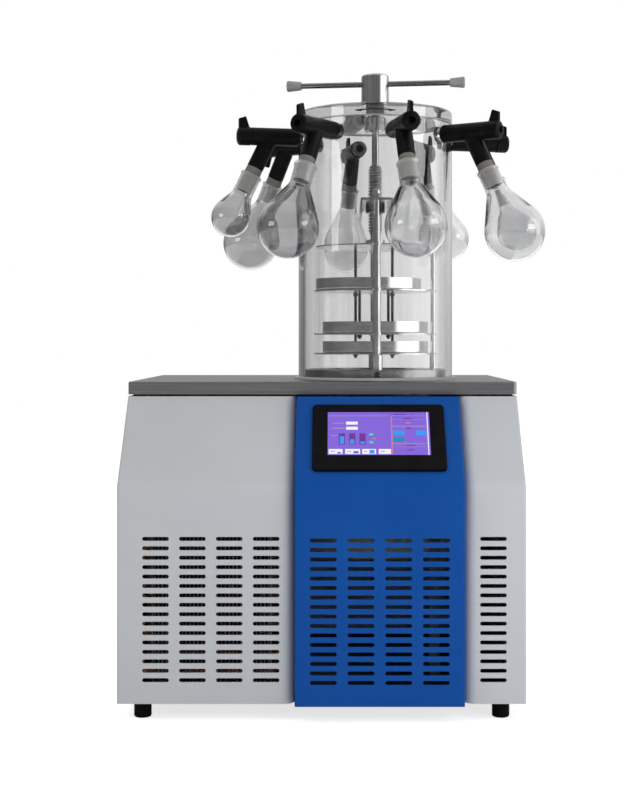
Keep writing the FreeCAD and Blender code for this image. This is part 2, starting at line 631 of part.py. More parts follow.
node(joined("compressor", [shell, sole, terminal] + grommets), "compressor")


# Fins on the condenser's tubes, with an end plate at each side that stands on the pan.
def condenser_shape():
    low, tall, deep = size("fin_low"), size("fin_tall"), size("fin_deep")
    floor = size("pan_top")
    front = size("fin_y") - deep / 2
    holes = [Part.makeCylinder(size("pipe_dia") / 2 + size("run_fit"), 6,
                               Vector(-2, size("fin_y"), size("pipe_low") + run * size("pipe_rise")), X_AXIS)
             for run in range(int(size("pipe_runs")))]
    holes = Part.Compound(holes)
    fin = Part.makeBox(size("fin_thick"), deep, tall, Vector(0, front, low)).cut(holes)
    end = Part.makeBox(1.5, deep, low + tall - floor + 5, Vector(0, front, floor)).cut(holes)
    pieces = []
    for k in range(int(size("fin_count"))):
        copy = fin.copy()
        copy.translate(Vector(size("fin_left") + k * size("fin_pitch"), 0, 0))
        pieces.append(copy)
    for x in (size("fin_left") - 4, size("fin_right") + 2.5):
        copy = end.copy()
        copy.translate(Vector(x, 0, 0))
        pieces.append(copy)
    return Part.Compound(pieces)


node(shaped("condenser", condenser_shape()), "condenser")


# A round bar or tube along straight runs, each corner an arc of the bend radius.
def bent_rod(points, radius, bend):
    edges = []
    start = points[0]
    for before, corner, after in zip(points, points[1:], points[2:]):
        into, out = (corner - before).normalize(), (after - corner).normalize()
        back = bend * math.tan(into.getAngle(out) / 2)
        first, last = corner - into * back, corner + out * back
        middle = corner + (out - into).normalize() * (bend / math.cos(into.getAngle(out) / 2) - bend)
        if (first - start).Length > 1e-3:
            edges.append(Part.LineSegment(start, first).toShape())
        edges.append(Part.Arc(first, middle, last).toShape())
        start = last
    edges.append(Part.LineSegment(start, points[-1]).toShape())
    path = Part.Wire(edges)
    ring = Part.Wire(Part.Circle(points[0], points[1] - points[0], radius).toShape())
    return path.makePipeShell([ring], True, False)


def pipe_shapes():
    radius, bend = size("pipe_dia") / 2, size("pipe_rise") / 2
    left, right = size("fin_left") - 20, size("fin_right") + 20
    line_y = size("fin_y")
    heights = [size("pipe_low") + run * size("pipe_rise") for run in range(int(size("pipe_runs")))]
    coil_side = size("axis_x") - size("coil_ring") - size("coil_tube") - 0.2
    coil_z = size("coil_low")
    coil_top = coil_z + size("coil_turns") * size("coil_pitch")
    comp_x, comp_y = size("compressor_x"), size("compressor_y")
    comp_low = size("pan_top") + size("mount_rise")
    comp_top = comp_low + size("compressor_high")
    top = heights[-1]
    points = [Vector(comp_x, comp_y, comp_top), Vector(comp_x, comp_y, comp_top + 24),
              Vector(right, comp_y, comp_top + 24), Vector(right, comp_y, top + 60),
              Vector(right, line_y, top + 60), Vector(right, line_y, top)]
    for k, z in enumerate(reversed(heights)):
        if k:
            points.append(Vector(right if k % 2 == 0 else left, line_y, z))
        points.append(Vector(left if k % 2 == 0 else right, line_y, z))
    points[-1] = Vector(right, line_y, heights[0])
    points += [Vector(right, size("axis_y"), heights[0]), Vector(right, size("axis_y"), coil_z),
               Vector(coil_side, size("axis_y"), coil_z)]
    high_side = bent_rod(points, radius, bend)
    across, reach = right - 14, comp_y - 30
    shell_x = comp_x + math.sqrt((size("compressor_dia") / 2) ** 2 - (30 - radius) ** 2) + 0.3
    points = [Vector(coil_side, size("axis_y"), coil_top), Vector(across, size("axis_y"), coil_top),
              Vector(across, reach, coil_top), Vector(across, reach, comp_low + 60),
              Vector(shell_x, reach, comp_low + 60)]
    low_side = bent_rod(points, radius, bend)
    return Part.Compound([high_side, low_side])


node(shaped("refrigerant_pipes", pipe_shapes()), "refrigerant_pipes")

# Fan behind the condenser: plate, ring, motor and four struts; the rotor is its own piece.
fan_ring, motor_y = "(fan_dia / 2 + fan_gap)", "fan_front + motor_back + fan_deep"
fan_plate = block("fan_plate", "fin_left - 4", "fan_front", "pan_top", "fin_right - fin_left + 8",
                  "fan_sheet", "fin_low + fin_tall - pan_top")


# A cylinder along Y behind the condenser, on the fan's line.
def fan_rod(name, radius, start, length):
    return rod(name, radius, length, "fan_x", f"{start} + {length}", "fan_up", X_AXIS, "90")


ring_out = fan_rod("fan_ring_out", f"{fan_ring} + fan_sheet", "fan_front", "(fan_deep + 16)")
ring_in = fan_rod("fan_ring_in", fan_ring, "fan_front - 8", "(fan_deep + 30)")
motor = fan_rod("fan_motor", "motor_dia / 2", motor_y, "motor_deep")
struts = [block("fan_strut_flat", f"fan_x - {fan_ring} - 1", motor_y, "fan_up - strut_wide / 2",
                f"2 * {fan_ring} + 2", "strut_thick", "strut_wide"),
          block("fan_strut_upright", "fan_x - strut_wide / 2", motor_y, f"fan_up - {fan_ring} - 1",
                "strut_wide", "strut_thick", f"2 * {fan_ring} + 2")]
shaft_hole = fan_rod("fan_shaft_hole", "3 + run_fit", f"{motor_y} - 6", "20")
ringed = cut("fan_ringed", joined("fan_plate_ring", [fan_plate, ring_out]), ring_in)
node(cut("fan_shroud", joined("fan_frame", [ringed, motor] + struts), shaft_hole), "fan_shroud")


def rotor_shape():
    deep, hub = size("fan_deep"), size("fan_hub") / 2
    chord, reach = deep * 1.4, size("fan_dia") / 2
    whole = Part.makeCylinder(hub, deep - 4, Vector(0, 2, 0), Y_AXIS)
    whole = whole.fuse(Part.makeCylinder(3, 18, Vector(0, deep - 4, 0), Y_AXIS))
    for k in range(int(size("fan_blades"))):
        blade = Part.makeBox(reach - hub + 4, chord, 2, Vector(hub - 4, -chord / 2, -1))
        blade.rotate(Vector(), X_AXIS, 36)
        blade = blade.common(Part.makeCylinder(reach, chord, Vector(0, -chord / 2, 0), Y_AXIS))
        blade.translate(Vector(0, deep / 2, 0))
        blade.rotate(Vector(), Y_AXIS, k * 360 / size("fan_blades"))
        whole = whole.fuse(blade)
    return whole.removeSplitter()


node(put(shaped("fan_rotor", rotor_shape()), "fan_x", "fan_front + 5", "fan_up"), "fan_rotor")


# --- fittings on the rear --------------------------------------------------------------

port_end = "rear + port_out - axis_y"
port_side = "port_bore + port_wall"
port_tube = turned("port_tube", [("port_bore", "trap_bore - 12"), (port_side, "trap_bore - 12"),
                                 (port_side, f"{port_end} - 6.5"), ("port_flange", f"{port_end} - 4.9"),
                                 ("port_flange", port_end), ("port_bore", port_end)])
put(port_tube, "axis_x", "axis_y", "port_up", X_AXIS, "270")
port_trim = rod("port_trim", "trap_out", "80", "axis_x", "axis_y", "port_up - 40")
node(cut("vacuum_port", port_tube, port_trim), "vacuum_port")


def drain_shape():
    x, y, z = size("axis_x"), size("axis_y"), size("drain_up")
    wide, deep, tall = size("valve_wide"), size("valve_deep"), size("valve_tall")
    bore, bend, rear = size("drain_bore"), size("drain_bend"), size("rear")
    path = [Vector(x, y, size("trap_low")), Vector(x, y, z), Vector(x, rear + size("drain_out"), z)]
    body = Part.makeBox(wide, deep, tall, Vector(x - wide / 2, rear + size("drain_back"), z - tall / 2))
    collar = Part.makeCylinder(size("drain_collar"), 4, Vector(x, rear, z), Y_AXIS)
    inner_path = [path[0] + Vector(0, 0, 1), path[1], path[2] + Vector(0, 1, 0)]
    outside = bent_rod(path, size("drain_dia") / 2, bend).fuse([body, collar])
    outside = outside.cut(bent_rod(inner_path, bore, bend))
    lever_y = rear + size("drain_back") + deep / 2
    return outside.cut(Part.makeCylinder(4 + size("run_fit"), 5, Vector(x, lever_y, z + 7.5)))


node(shaped("drain_valve", drain_shape()), "drain_valve")
lever_line = "rear + drain_back + valve_deep / 2"
lever_stem = rod("drain_lever_stem", "4", "8", "axis_x", lever_line, "drain_up + 7.8")
lever_bar = block("drain_lever_bar", "axis_x - 6", f"{lever_line} - 4.5", "drain_up + 13.5", "52", "9", "3")
node(joined("drain_lever", [lever_stem, lever_bar]), "drain_lever")

inlet_low, inlet_left = "inlet_up - inlet_tall / 2", "inlet_x - inlet_wide / 2"
inlet_body = block("inlet_body", f"{inlet_left} + 3", "rear - inlet_deep", f"{inlet_low} + 3",
                   "inlet_wide - 6", "inlet_deep", "inlet_tall - 6")
inlet_flange = block("inlet_flange", inlet_left, "rear", inlet_low, "inlet_wide", "inlet_rim", "inlet_tall")
socket = block("inlet_socket", "inlet_x - socket_wide / 2", "rear - socket_deep", f"{inlet_low} + 8",
               "socket_wide", "socket_deep + 5", "socket_tall")
pins = [block(f"inlet_pin_{tag}", f"inlet_x + {dx}", "rear - 16", f"{inlet_low} + {dz}", "2", "13", "4")
        for tag, dx, dz in (("line", -8, 12), ("earth", -1, 17), ("neutral", 6, 12))]
rocker_z = "inlet_up + inlet_tall / 2 - 19"
well = block("inlet_well", "inlet_x - 7", "rear - 8", f"{rocker_z} - 11", "14", "20", "22")
pivot_hole = rod("inlet_pivot_hole", "1.5 + run_fit", "19", "inlet_x - 9.5", "rear - 1", rocker_z,
                 Y_AXIS, "90")
inlet_case = cut("inlet_case", joined("inlet_solid", [inlet_body, inlet_flange]), socket, well, pivot_hole)
node(joined("power_inlet", [inlet_case] + pins), "power_inlet")

rocker_corners = [("-4", "-5"), ("0.5", "-10"), ("3.5", "-10"), ("2", "0"), ("3.5", "10"), ("0.5", "10"),
                  ("-4", "5")]
rocker = prism("rocker_block", "YZ_Plane", rocker_corners, "-6.7", "13.4")
pivot = rod("rocker_pivot", "1.5", "18", "-9", "0", "0", Y_AXIS, "90")
switch = joined("power_switch", [rocker, pivot])
node(put(switch, "inlet_x", "rear - 1", rocker_z, X_AXIS, "348"), "power_switch")


# --- drying chamber --------------------------------------------------------------------

def ring(name, inner, outer, low, high, rounds=None):
    return turned(name, [(inner, low), (outer, low), (outer, high), (inner, high)], rounds)


def on_axis(thing):
    return put(thing, "axis_x", "axis_y")


# A copy of a piece made at the front of the chamber, turned to the k-th valve's place.
def around(name, master, k):
    copy = group(f"{name}_{k + 1}", [master])
    return put(copy, "axis_x", "axis_y", "0", Z_AXIS, f"first_port + {k} * 360 / port_count")


ports = range(int(size("port_count")))
tube_in = "tube_out - tube_wall"
base_seal = on_axis(ring("base_seal", tube_in, "seal_out", "deck", "tube_low", {2: "1.2"}))
lid_seal = on_axis(ring("lid_seal_ring", tube_in, "tube_out", "tube_top", "lid_low"))
node(group("chamber_seals", [base_seal, lid_seal]), "chamber_seals")
tube = on_axis(ring("chamber_tube_plain", tube_in, "tube_out", "tube_low", "tube_top"))
drill = rod("port_drill", "nipple_dia / 2 + run_fit", "tube_wall + 30", "0", f"11 - ({tube_in})",
            "port_up_line", X_AXIS, "90")
node(cut("chamber_tube", tube, *[around("port_hole", drill, k) for k in ports]), "chamber_tube")
lid = ring("chamber_lid", "gland_dia / 2 + 0.05", "tube_out", "lid_low", "lid_top", {2: "lid_edge"})
node(on_axis(lid), "chamber_lid")

gland_bore = "shaft_dia / 2 + run_fit"
gland_low = "lid_low - gland_drop"
gland = turned("shaft_gland", [(gland_bore, gland_low), ("gland_dia / 2", gland_low),
                               ("gland_nut / 2", f"{gland_low} + 4"), ("gland_nut / 2", "lid_low"),
                               ("gland_dia / 2", "lid_low"), ("gland_dia / 2", "lid_top"),
                               ("collar_dia / 2", "lid_top"), ("collar_dia / 2", "lid_top + collar_high"),
                               (gland_bore, "lid_top + collar_high")], {7: "1.2"})
node(on_axis(gland), "shaft_gland")


# --- T-handle --------------------------------------------------------------------------

def turned_with_bar(thing):
    return put(thing, "axis_x", "axis_y", "0", Z_AXIS, "360 + bar_turn")


hub = turned("handle_hub", [("shaft_dia / 2", "hub_low"), ("hub_dia / 2", "hub_low"),
                            ("hub_dia / 2", "hub_top"), ("0", "hub_top"), ("0", "hub_low + hub_bore"),
                            ("shaft_dia / 2", "hub_low + hub_bore")], {1: "1.2", 2: "hub_edge"})
pocket(hub, "YZ_Plane", "-hub_dia", "2 * hub_dia", circles=[("0", "bar_line", "bar_dia / 2")])
node(turned_with_bar(hub), "handle_hub")
bar_half = "(bar_span / 2 - cap_wall)"
bar = rod("handle_bar_rod", "bar_dia / 2", f"2 * {bar_half}", f"-{bar_half}", "0", "bar_line", Y_AXIS, "90")
node(turned_with_bar(group("handle_bar", [bar])), "handle_bar")
cap_start, cap_end = "bar_span / 2 - cap_long", "bar_span / 2"
cap = turned("handle_cap", [("bar_dia / 2", cap_start), ("cap_small / 2", cap_start),
                            ("cap_large / 2", cap_end), ("0", cap_end), ("0", f"{cap_end} - cap_wall"),
                            ("bar_dia / 2", f"{cap_end} - cap_wall")], {1: "1", 2: "2.5"})
caps = [put(group("cap_" + tag, [cap]), "0", "0", "bar_line", Y_AXIS, angle)
        for tag, angle in (("right", "90"), ("left", "270"))]
node(turned_with_bar(group("handle_caps", caps)), "handle_caps")

# The shaft has two flats below the gland and slides in a bore of that section in the screw.
shaft_round = rod("shaft_round", "shaft_dia / 2", "hub_low + hub_bore - shaft_low", "0", "0", "shaft_low")
flats = [block(f"shaft_flat_{tag}", "-shaft_dia", y, "shaft_low - 1", "2 * shaft_dia", "shaft_dia",
               f"{gland_low} - 5 - shaft_low")
         for tag, y in (("fore", "-shaft_flat / 2 - shaft_dia"), ("aft", "shaft_flat / 2"))]
node(turned_with_bar(cut("drive_shaft", shaft_round, *flats)), "drive_shaft")


# --- stoppering rack -------------------------------------------------------------------

# (x, y) of a place on a ring about the chamber's axis, turned from the front.
def ring_place(radius, turn):
    return f"{radius} * sin({turn})", f"-{radius} * cos({turn})"


def pair_places(turn):
    return [ring_place("hanger_ring", turn), ring_place("hanger_ring", f"-{turn}")]


tall_posts = [ring_place("post_ring", "0"), ring_place("post_ring", "180")]
side_posts = [ring_place("post_ring", "90")]
hangers, shelf_hangers = pair_places("hanger_turn"), pair_places("shelf_hanger_turn")


def drills(name, places_xy, radius, low, high):
    return [rod(f"{name}_{k}", radius, f"({high}) - ({low})", x, y, low)
            for k, (x, y) in enumerate(places_xy, start=1)]


rack = turned("rack_base_ring", [("rack_dia / 2 - rack_wall", "deck"), ("rack_dia / 2", "deck"),
                                 ("rack_dia / 2", "rack_top"), ("rack_mouth", "rack_top"),
                                 ("rack_mouth", "rack_top - rack_web"),
                                 ("rack_dia / 2 - rack_wall", "rack_top - rack_web")], {2: "2"})
pocket(rack, "XZ_Plane", "rack_dia / 2 - 2 * rack_wall", "4 * rack_wall",
       [("-4", "deck - 1"), ("4", "deck - 1"), ("4", "rack_top - rack_web"), ("-4", "rack_top - rack_web")])
rack_holes = drills("rack_pass", hangers + shelf_hangers, "nut_pass / 2", "deck", "rack_top + 5")
node(on_axis(cut("rack_base", rack, *rack_holes)), "rack_base")


# A post with a wide foot, a shoulder and a stud through what it carries.
def post(name, foot_dia, dia, stud, shoulder, carried, x, y):
    stud_top = f"{shoulder} + {carried} + 1.2 * {stud}"
    body = turned(name, [("0", "rack_top"), (f"{foot_dia} / 2", "rack_top"), (f"{foot_dia} / 2", "bottom_up"),
                         (f"{dia} / 2", "bottom_up"), (f"{dia} / 2", shoulder), (f"{stud} / 2", shoulder),
                         (f"{stud} / 2", stud_top), ("0", stud_top)], {2: "1"})
    return put(body, x, y)


# A hexagon nut with a dome, over the end of a stud.
def acorn(name, stud, low, x, y):
    corner = f"(0.92 * {stud})"
    corners = [(f"{corner} * cos({60 * k})", f"{corner} * sin({60 * k})") for k in range(6)]
    hexagon = prism(name + "_hex", "XY_Plane", corners, low, f"0.9 * {stud}")
    dome = turned(name + "_dome", [("0", f"({low}) + 1"), (f"0.76 * {stud}", f"({low}) + 1"),
                                   (f"0.76 * {stud}", f"({low}) + 2.1 * {stud}"),
                                   ("0", f"({low}) + 2.1 * {stud}")],
                  {2: f"0.7 * {stud}"})
    bore = rod(name + "_bore", f"{stud} / 2", f"1.2 * {stud} + 1", "0", "0", f"({low}) - 1")
    return put(cut(name, joined(name + "_solid", [hexagon, dome]), bore), x, y)


bridge_low = "bridge_up - bridge_web"
posts = [post(f"tall_post_{k + 1}", "foot_post", "post_dia", "stud_dia", bridge_low, "bridge_web", x, y)
         for k, (x, y) in enumerate(tall_posts)]
posts += [post("side_post", "side_foot_post", "side_post_dia", "side_stud_dia", "side_post_top", "0",
               *side_posts[0])]
node(on_axis(group("rack_posts", posts)), "rack_posts")
acorns = [acorn(f"tall_nut_{k + 1}", "stud_dia", "bridge_up", x, y) for k, (x, y) in enumerate(tall_posts)]
acorns += [acorn("side_nut", "side_stud_dia", "side_post_top", *side_posts[0])]
node(on_axis(group("post_nuts", acorns)), "post_nuts")

bridge_half = "(post_ring + 13)"
wide, leg = "bridge_wide / 2", "bridge_wide / 2 - bridge_wall"
bridge_foot = "bridge_up - bridge_drop"
bridge = prism("rack_bridge", "XZ_Plane", [(f"-({wide})", bridge_foot), (f"-({wide})", "bridge_up"),
                                           (wide, "bridge_up"), (wide, bridge_foot), (leg, bridge_foot),
                                           (leg, bridge_low), (f"-({leg})", bridge_low),
                                           (f"-({leg})", bridge_foot)],
               f"-{bridge_half}", f"2 * {bridge_half}", {1: "3", 2: "3"})
pocket(bridge, "XY_Plane", f"{bridge_low} - 1", "bridge_web + 2",
       circles=[("0", "0", "screw_dia / 2 + 1")] + [(x, y, "stud_dia / 2 + 0.1") for x, y in tall_posts])
node(on_axis(bridge), "rack_bridge")
nut = ring("press_nut", "screw_dia / 2 + run_fit", "nut_dia / 2", f"{bridge_low} - nut_high", bridge_low,
           {1: "1.5"})
node(on_axis(nut), "press_nut")

journal = "press_up + shelf_thick + 0.1"
screw = turned("press_screw_round", [("0", journal), ("neck_dia / 2", journal),
                                     ("neck_dia / 2", "screw_low + neck_high"),
                                     ("screw_dia / 2 - 1.5", "screw_low + neck_high"),
                                     ("screw_dia / 2", "screw_low + neck_high + 2"),
                                     ("screw_dia / 2", "screw_top - 1.5"),
                                     ("screw_dia / 2 - 1.5", "screw_top"), ("0", "screw_top")])
bore_round = rod("screw_bore_round", "shaft_dia / 2 + 0.2", "screw_top - shaft_low + 10", "0", "0",
                 "shaft_low - 3")
bore_flat = block("screw_bore_flat", "-shaft_dia", "-shaft_flat / 2 - 0.2", "shaft_low - 3", "2 * shaft_dia",
                  "shaft_flat + 0.4", "screw_top - shaft_low + 10")
bore = doc.addObject("Part::Common", "screw_bore")
bore.Base, bore.Tool = bore_round, bore_flat
node(turned_with_bar(cut("press_screw", screw, bore)), "press_screw")


# Cutters and guide collars that every plate of the rack has at the posts.
def post_notches(name, low):
    tools = drills(name + "_post", tall_posts, "post_dia / 2 + notch_gap", f"{low} - 10", f"{low} + 20")
    tools += drills(name + "_side", side_posts, "side_post_dia / 2 + notch_gap", f"{low} - 10", f"{low} + 20")
    tools.append(block(name + "_side_mouth", "post_ring", "-side_post_dia / 2 - notch_gap", f"{low} - 10",
                       "30", "side_post_dia + 2 * notch_gap", "30"))
    return tools


def rack_plate(name, dia, low, extras=(), holes=(), collars=True):
    solids = [rod(name + "_disc", f"{dia} / 2", "shelf_thick", "0", "0", low)] + list(extras)
    if collars:
        solids += drills(name + "_collar", tall_posts, "collar_wide / 2", f"{low} - 1.5",
                         f"{low} + shelf_thick + 1.5")
    solid = joined(name + "_solid", solids) if len(solids) > 1 else solids[0]
    return node(on_axis(cut(name, solid, *post_notches(name, low), *holes)), name)


boss = ring("press_boss", "neck_dia / 2 + run_fit", "boss_dia / 2", "press_up + shelf_thick",
            "press_up + shelf_thick + boss_high", {2: "1.5"})
rack_plate("press_plate", "press_dia", "press_up", [boss],
           drills("press_hanger_hole", hangers, "hanger_dia / 2", "press_up - 5", "press_up + 10"))
slide = "hanger_dia / 2 + 0.3"
rack_plate("top_shelf", "shelf_dia", "top_up", (),
           drills("top_pass", hangers, slide, "top_up - 5", "top_up + 10"))
rack_plate("middle_shelf", "shelf_dia", "middle_up", (),
           drills("middle_pass", hangers + shelf_hangers, slide, "middle_up - 5", "middle_up + 10"))
rack_plate("bottom_shelf", "shelf_dia", "bottom_up", (),
           drills("bottom_pass", hangers, slide, "bottom_up - 5", "bottom_up + 10")
           + drills("bottom_nut_pass", shelf_hangers, "hanger_nut / 2 + 0.7", "bottom_up - 5",
                    "bottom_up + 10"),
           collars=False)


# Rods that carry the shelves, each with round nuts below the plates it holds.
def hanger_set(label, places_xy, low, high, nut_tops):
    rods = []
    for k, (x, y) in enumerate(places_xy):
        solids = [rod(f"{label}_rod_{k + 1}", "hanger_dia / 2", f"({high}) - ({low})", x, y, low)]
        for top in nut_tops:
            solids.append(rod(f"{label}_nut_{k + 1}", "hanger_nut / 2", "4.5", x, y, f"{top} - 4.5"))
        rods.append(joined(f"{label}_{k + 1}", solids))
    return node(on_axis(group(label, rods)), label)


hanger_set("press_hangers", hangers, "bottom_up - 8", "press_up + shelf_thick", ["top_up", "bottom_up"])
hanger_set("shelf_hangers", shelf_hangers, "middle_up - 7", "top_up", ["middle_up"])


def tray(label, low, shift):
    body = turned(label, [("0", low), ("tray_dia / 2", low), ("tray_dia / 2", f"{low} + tray_high"),
                          ("tray_dia / 2 - tray_wall", f"{low} + tray_high"),
                          ("tray_dia / 2 - tray_wall", f"{low} + tray_wall"), ("0", f"{low} + tray_wall")],
                  {1: "3", 4: "3 - tray_wall"})
    return node(put(body, f"axis_x + {shift}", "axis_y"), label)


tray("top_tray", "top_up + shelf_thick", "tray_shift")
tray("middle_tray", "middle_up + shelf_thick", "0")
tray("bottom_tray", "bottom_up + shelf_thick", "0")


# --- valves and flasks -----------------------------------------------------------------
# Each piece is made at the front of the chamber with its length along local Z, which then
# points outwards (towards -Y), and is copied around the chamber.

def outwards(thing):
    return put(thing, "0", "0", "port_up_line", X_AXIS, "90")


def down_branch(thing, along="0"):
    return put(thing, "0", f"-branch_at - ({along}) * sin(branch_lean)",
               f"port_up_line - ({along}) * cos(branch_lean)", X_AXIS, "180 - branch_lean")


def ported(label, master, which=ports):
    return node(group(label, [around(label + "_copy", master, k) for k in which]), label)


nipple = turned("nipple", [("nipple_bore / 2", "nipple_in"), ("nipple_dia / 2 + 3", "nipple_in"),
                           ("nipple_dia / 2 + 3", "tube_out - tube_wall - 1"),
                           ("nipple_dia / 2", "tube_out - tube_wall - 1"),
                           ("nipple_dia / 2", "tube_out + 0.4"),
                           ("nipple_dia / 2 + 3", "tube_out + 0.4"), ("nipple_dia / 2 + 3", "body_start"),
                           ("nipple_dia / 2", "body_start"), ("nipple_dia / 2", "nipple_end"),
                           ("nipple_bore / 2", "nipple_end")])
ported("port_nipples", outwards(nipple))

plug_bore = "plug_dia / 2 + run_fit"
barrel = outwards(turned("valve_barrel", [("0", "body_start"), ("body_dia / 2", "body_start"),
                                          ("body_dia / 2", "body_end"), ("0", "body_end")],
                         {1: "3", 2: "1.5"}))
branch = down_branch(turned("valve_branch", [("0", "0"), ("branch_dia / 2", "0"),
                                             ("branch_dia / 2", "branch_long"), ("0", "branch_long")],
                            {2: "2"}))
barrel_bore = outwards(turned("valve_bore", [("0", "body_start - 5"), ("nipple_dia / 2", "body_start - 5"),
                                             ("nipple_dia / 2", "nipple_end"),
                                             ("nipple_bore / 2", "nipple_end"),
                                             ("nipple_bore / 2", "plug_start"), (plug_bore, "plug_start"),
                                             (plug_bore, "body_end + 5"), ("0", "body_end + 5")]))
branch_bore = down_branch(turned("branch_bore", [("0", "0"), ("spout_bore / 2", "0"),
                                                 ("spout_bore / 2", "branch_long - 14"),
                                                 ("branch_dia / 2 - 3", "branch_long - 14"),
                                                 ("branch_dia / 2 - 3", "branch_long + 5"),
                                                 ("0", "branch_long + 5")]))
valve_solid = joined("valve_body_solid", [barrel, branch])
ported("valve_bodies", cut("valve_body", valve_solid, barrel_bore, branch_bore))

cone_top, cone_step = "branch_long - 14", "branch_long + cone_show"
cone_tip = "cone_dia / 2 - cone_long / 20"
cone = down_branch(turned("cone", [("8.5", cone_top), ("branch_dia / 2 - 3", cone_top),
                                   ("branch_dia / 2 - 3", "branch_long"),
                                   ("branch_dia / 2 - 0.5", "branch_long"),
                                   ("cone_dia / 2", cone_step), (cone_tip, f"{cone_step} + cone_long"),
                                   ("8.5", f"{cone_step} + cone_long")]))
ported("joint_cones", cone)


# A knob turns its plug in the valve body: a side hole in the plug meets the branch when
# the fin points down, and the hole in the knob's end lets air in.
knob = turned("knob_master", [("0", "plug_start + 0.3"), ("plug_dia / 2", "plug_start + 0.3"),
                              ("plug_dia / 2", "body_end + 0.3"), ("knob_dia / 2", "body_end + 0.3"),
                              ("knob_dia / 2", "knob_end"), ("spout_dia / 2", "knob_end"),
                              ("spout_dia / 2", "knob_end + knob_lip"), ("0", "knob_end + knob_lip")],
              {3: "1.5", 4: "5", 6: "0.6"})
fin_root, fin_crest = "knob_dia / 2 - 7", "knob_dia / 2 + fin_top"
fin_pad = pad_on(knob, "YZ_Plane", "-knob_fin / 2", "knob_fin",
                 [(fin_root, "knob_end - 2"), (f"{fin_crest} - 4", "knob_end - 2"),
                  (fin_crest, "knob_end - 2 - fin_tip"), (fin_root, "knob_end - 2 - fin_base")])
crest_low = size("knob_dia") / 2 + size("fin_top") - 4.5
round_edges(knob, fin_pad, lambda edge: edge.BoundBox.YMin > crest_low, "1.5")
pocket(knob, "XY_Plane", "plug_start - 1", "branch_at - plug_start + 8",
       circles=[("0", "0", "spout_bore / 2")])
pocket(knob, "XY_Plane", "knob_end - 13", "30", circles=[("0", "0", "spout_bore / 2")])
pocket(knob, "XZ_Plane", "0", "plug_dia", circles=[("0", "branch_at", "spout_bore / 2")], away=False)
knob_up = outwards(group("knob_up", [knob]))
knob_down = outwards(group("knob_down", [put(group("knob_half_turn", [knob]), axis=Z_AXIS, angle="180")]))
DOWN_VALVE = 5
for k in ports:
    node(around("knob_copy", knob_down if k == DOWN_VALVE else knob_up, k), f"valve_knob_{k + 1}")


# Pear-shaped flask, mouth up at the origin: a neck ground to the cone's taper, a straight
# shoulder that leaves the bulb's sphere at a tangent, and walls of even thickness below.
def flask_shape(bulb, long):
    wall, neck = size("glass_wall"), size("neck_out") / 2
    mouth = size("cone_dia") / 2 + size("run_fit")
    throat = mouth - size("cone_long") / 20
    centre = Vector(0, 0, bulb - long)

    def lower(start, radius, bend):
        reach = start - centre
        turn = math.atan2(reach.z, reach.x) - math.acos(radius / reach.Length)
        on_ball = [centre + Vector(math.cos(angle), 0, math.sin(angle)) * radius
                   for angle in (turn, (turn - math.pi / 2) / 2, -math.pi / 2)]
        slope = (on_ball[0] - start).normalize()
        half = slope.getAngle(Vector(0, 0, -1)) / 2
        back = bend * math.tan(half)
        above, below = start + Vector(0, 0, back), start + slope * back
        middle = start + (slope + Z_AXIS).normalize() * (bend / math.cos(half) - bend)
        shoulder = Part.LineSegment(below, on_ball[0])
        return above, [Part.Arc(above, middle, below), shoulder, Part.Arc(*on_ball)]

    outer_start, outer = lower(Vector(neck, 0, -size("neck_long") - 4), bulb, 22)
    inner_start, inner = lower(Vector(throat, 0, -size("neck_long") - 7), bulb - wall, 22)
    rim, rim_low = size("rim_dia") / 2, -size("rim_high")
    top = [Vector(mouth, 0, 0), Vector(rim - 1, 0, 0), Vector(rim, 0, -1), Vector(rim, 0, rim_low + 1),
           Vector(neck, 0, rim_low - 1), outer_start]
    lines = [Part.LineSegment(a, b) for a, b in zip(top, top[1:])]
    floor = [Part.LineSegment(Vector(0, 0, -long), Vector(0, 0, wall - long))]
    bore = [Part.LineSegment(inner_start, Vector(throat, 0, -size("cone_long"))),
            Part.LineSegment(Vector(throat, 0, -size("cone_long")), Vector(mouth, 0, 0))]
    edges = [edge.toShape() for edge in lines + outer + floor + inner + bore]
    return Part.Face(Part.Wire(Part.__sortEdges__(edges))).revolve(Vector(), Z_AXIS, 360)


def flask(name):
    body = shaped(name + "_master", flask_shape(size(name + "_bulb") / 2, size(name + "_long")))
    hung = put(group(name + "_hung", [body]), "0", f"-branch_at - ({cone_step}) * sin(branch_lean)",
               f"port_up_line - ({cone_step}) * cos(branch_lean)", X_AXIS, "360 - branch_lean")
    return hung


LARGE, MEDIUM, SMALL = (0, 1, 4, 5, 7), (2, 3), (6,)
ported("large_flasks", flask("large"), LARGE)
ported("medium_flasks", flask("medium"), MEDIUM)
ported("small_flask", flask("small"), SMALL)


# --- checks and files ------------------------------------------------------------------

doc.recompute()
for item in doc.Objects:
    if "Invalid" in item.State or "Error" in item.State:
        raise ValueError(f"{item.Name} failed to build: {item.State}")
os.makedirs("parts", exist_ok=True)
for thing in nodes:
    shape = thing.Shape
    if shape.isNull() or not shape.isValid() or not shape.Solids:
        raise ValueError(thing.Label + " is not a valid solid")
    shape.exportStep(f"parts/{thing.Label}.step")
    print(f"{thing.Label}: {len(shape.Solids)} solid(s), {shape.Volume / 1000:.1f} cm3")
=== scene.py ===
import math

import bmesh
import bpy
from mathutils import Matrix, Vector


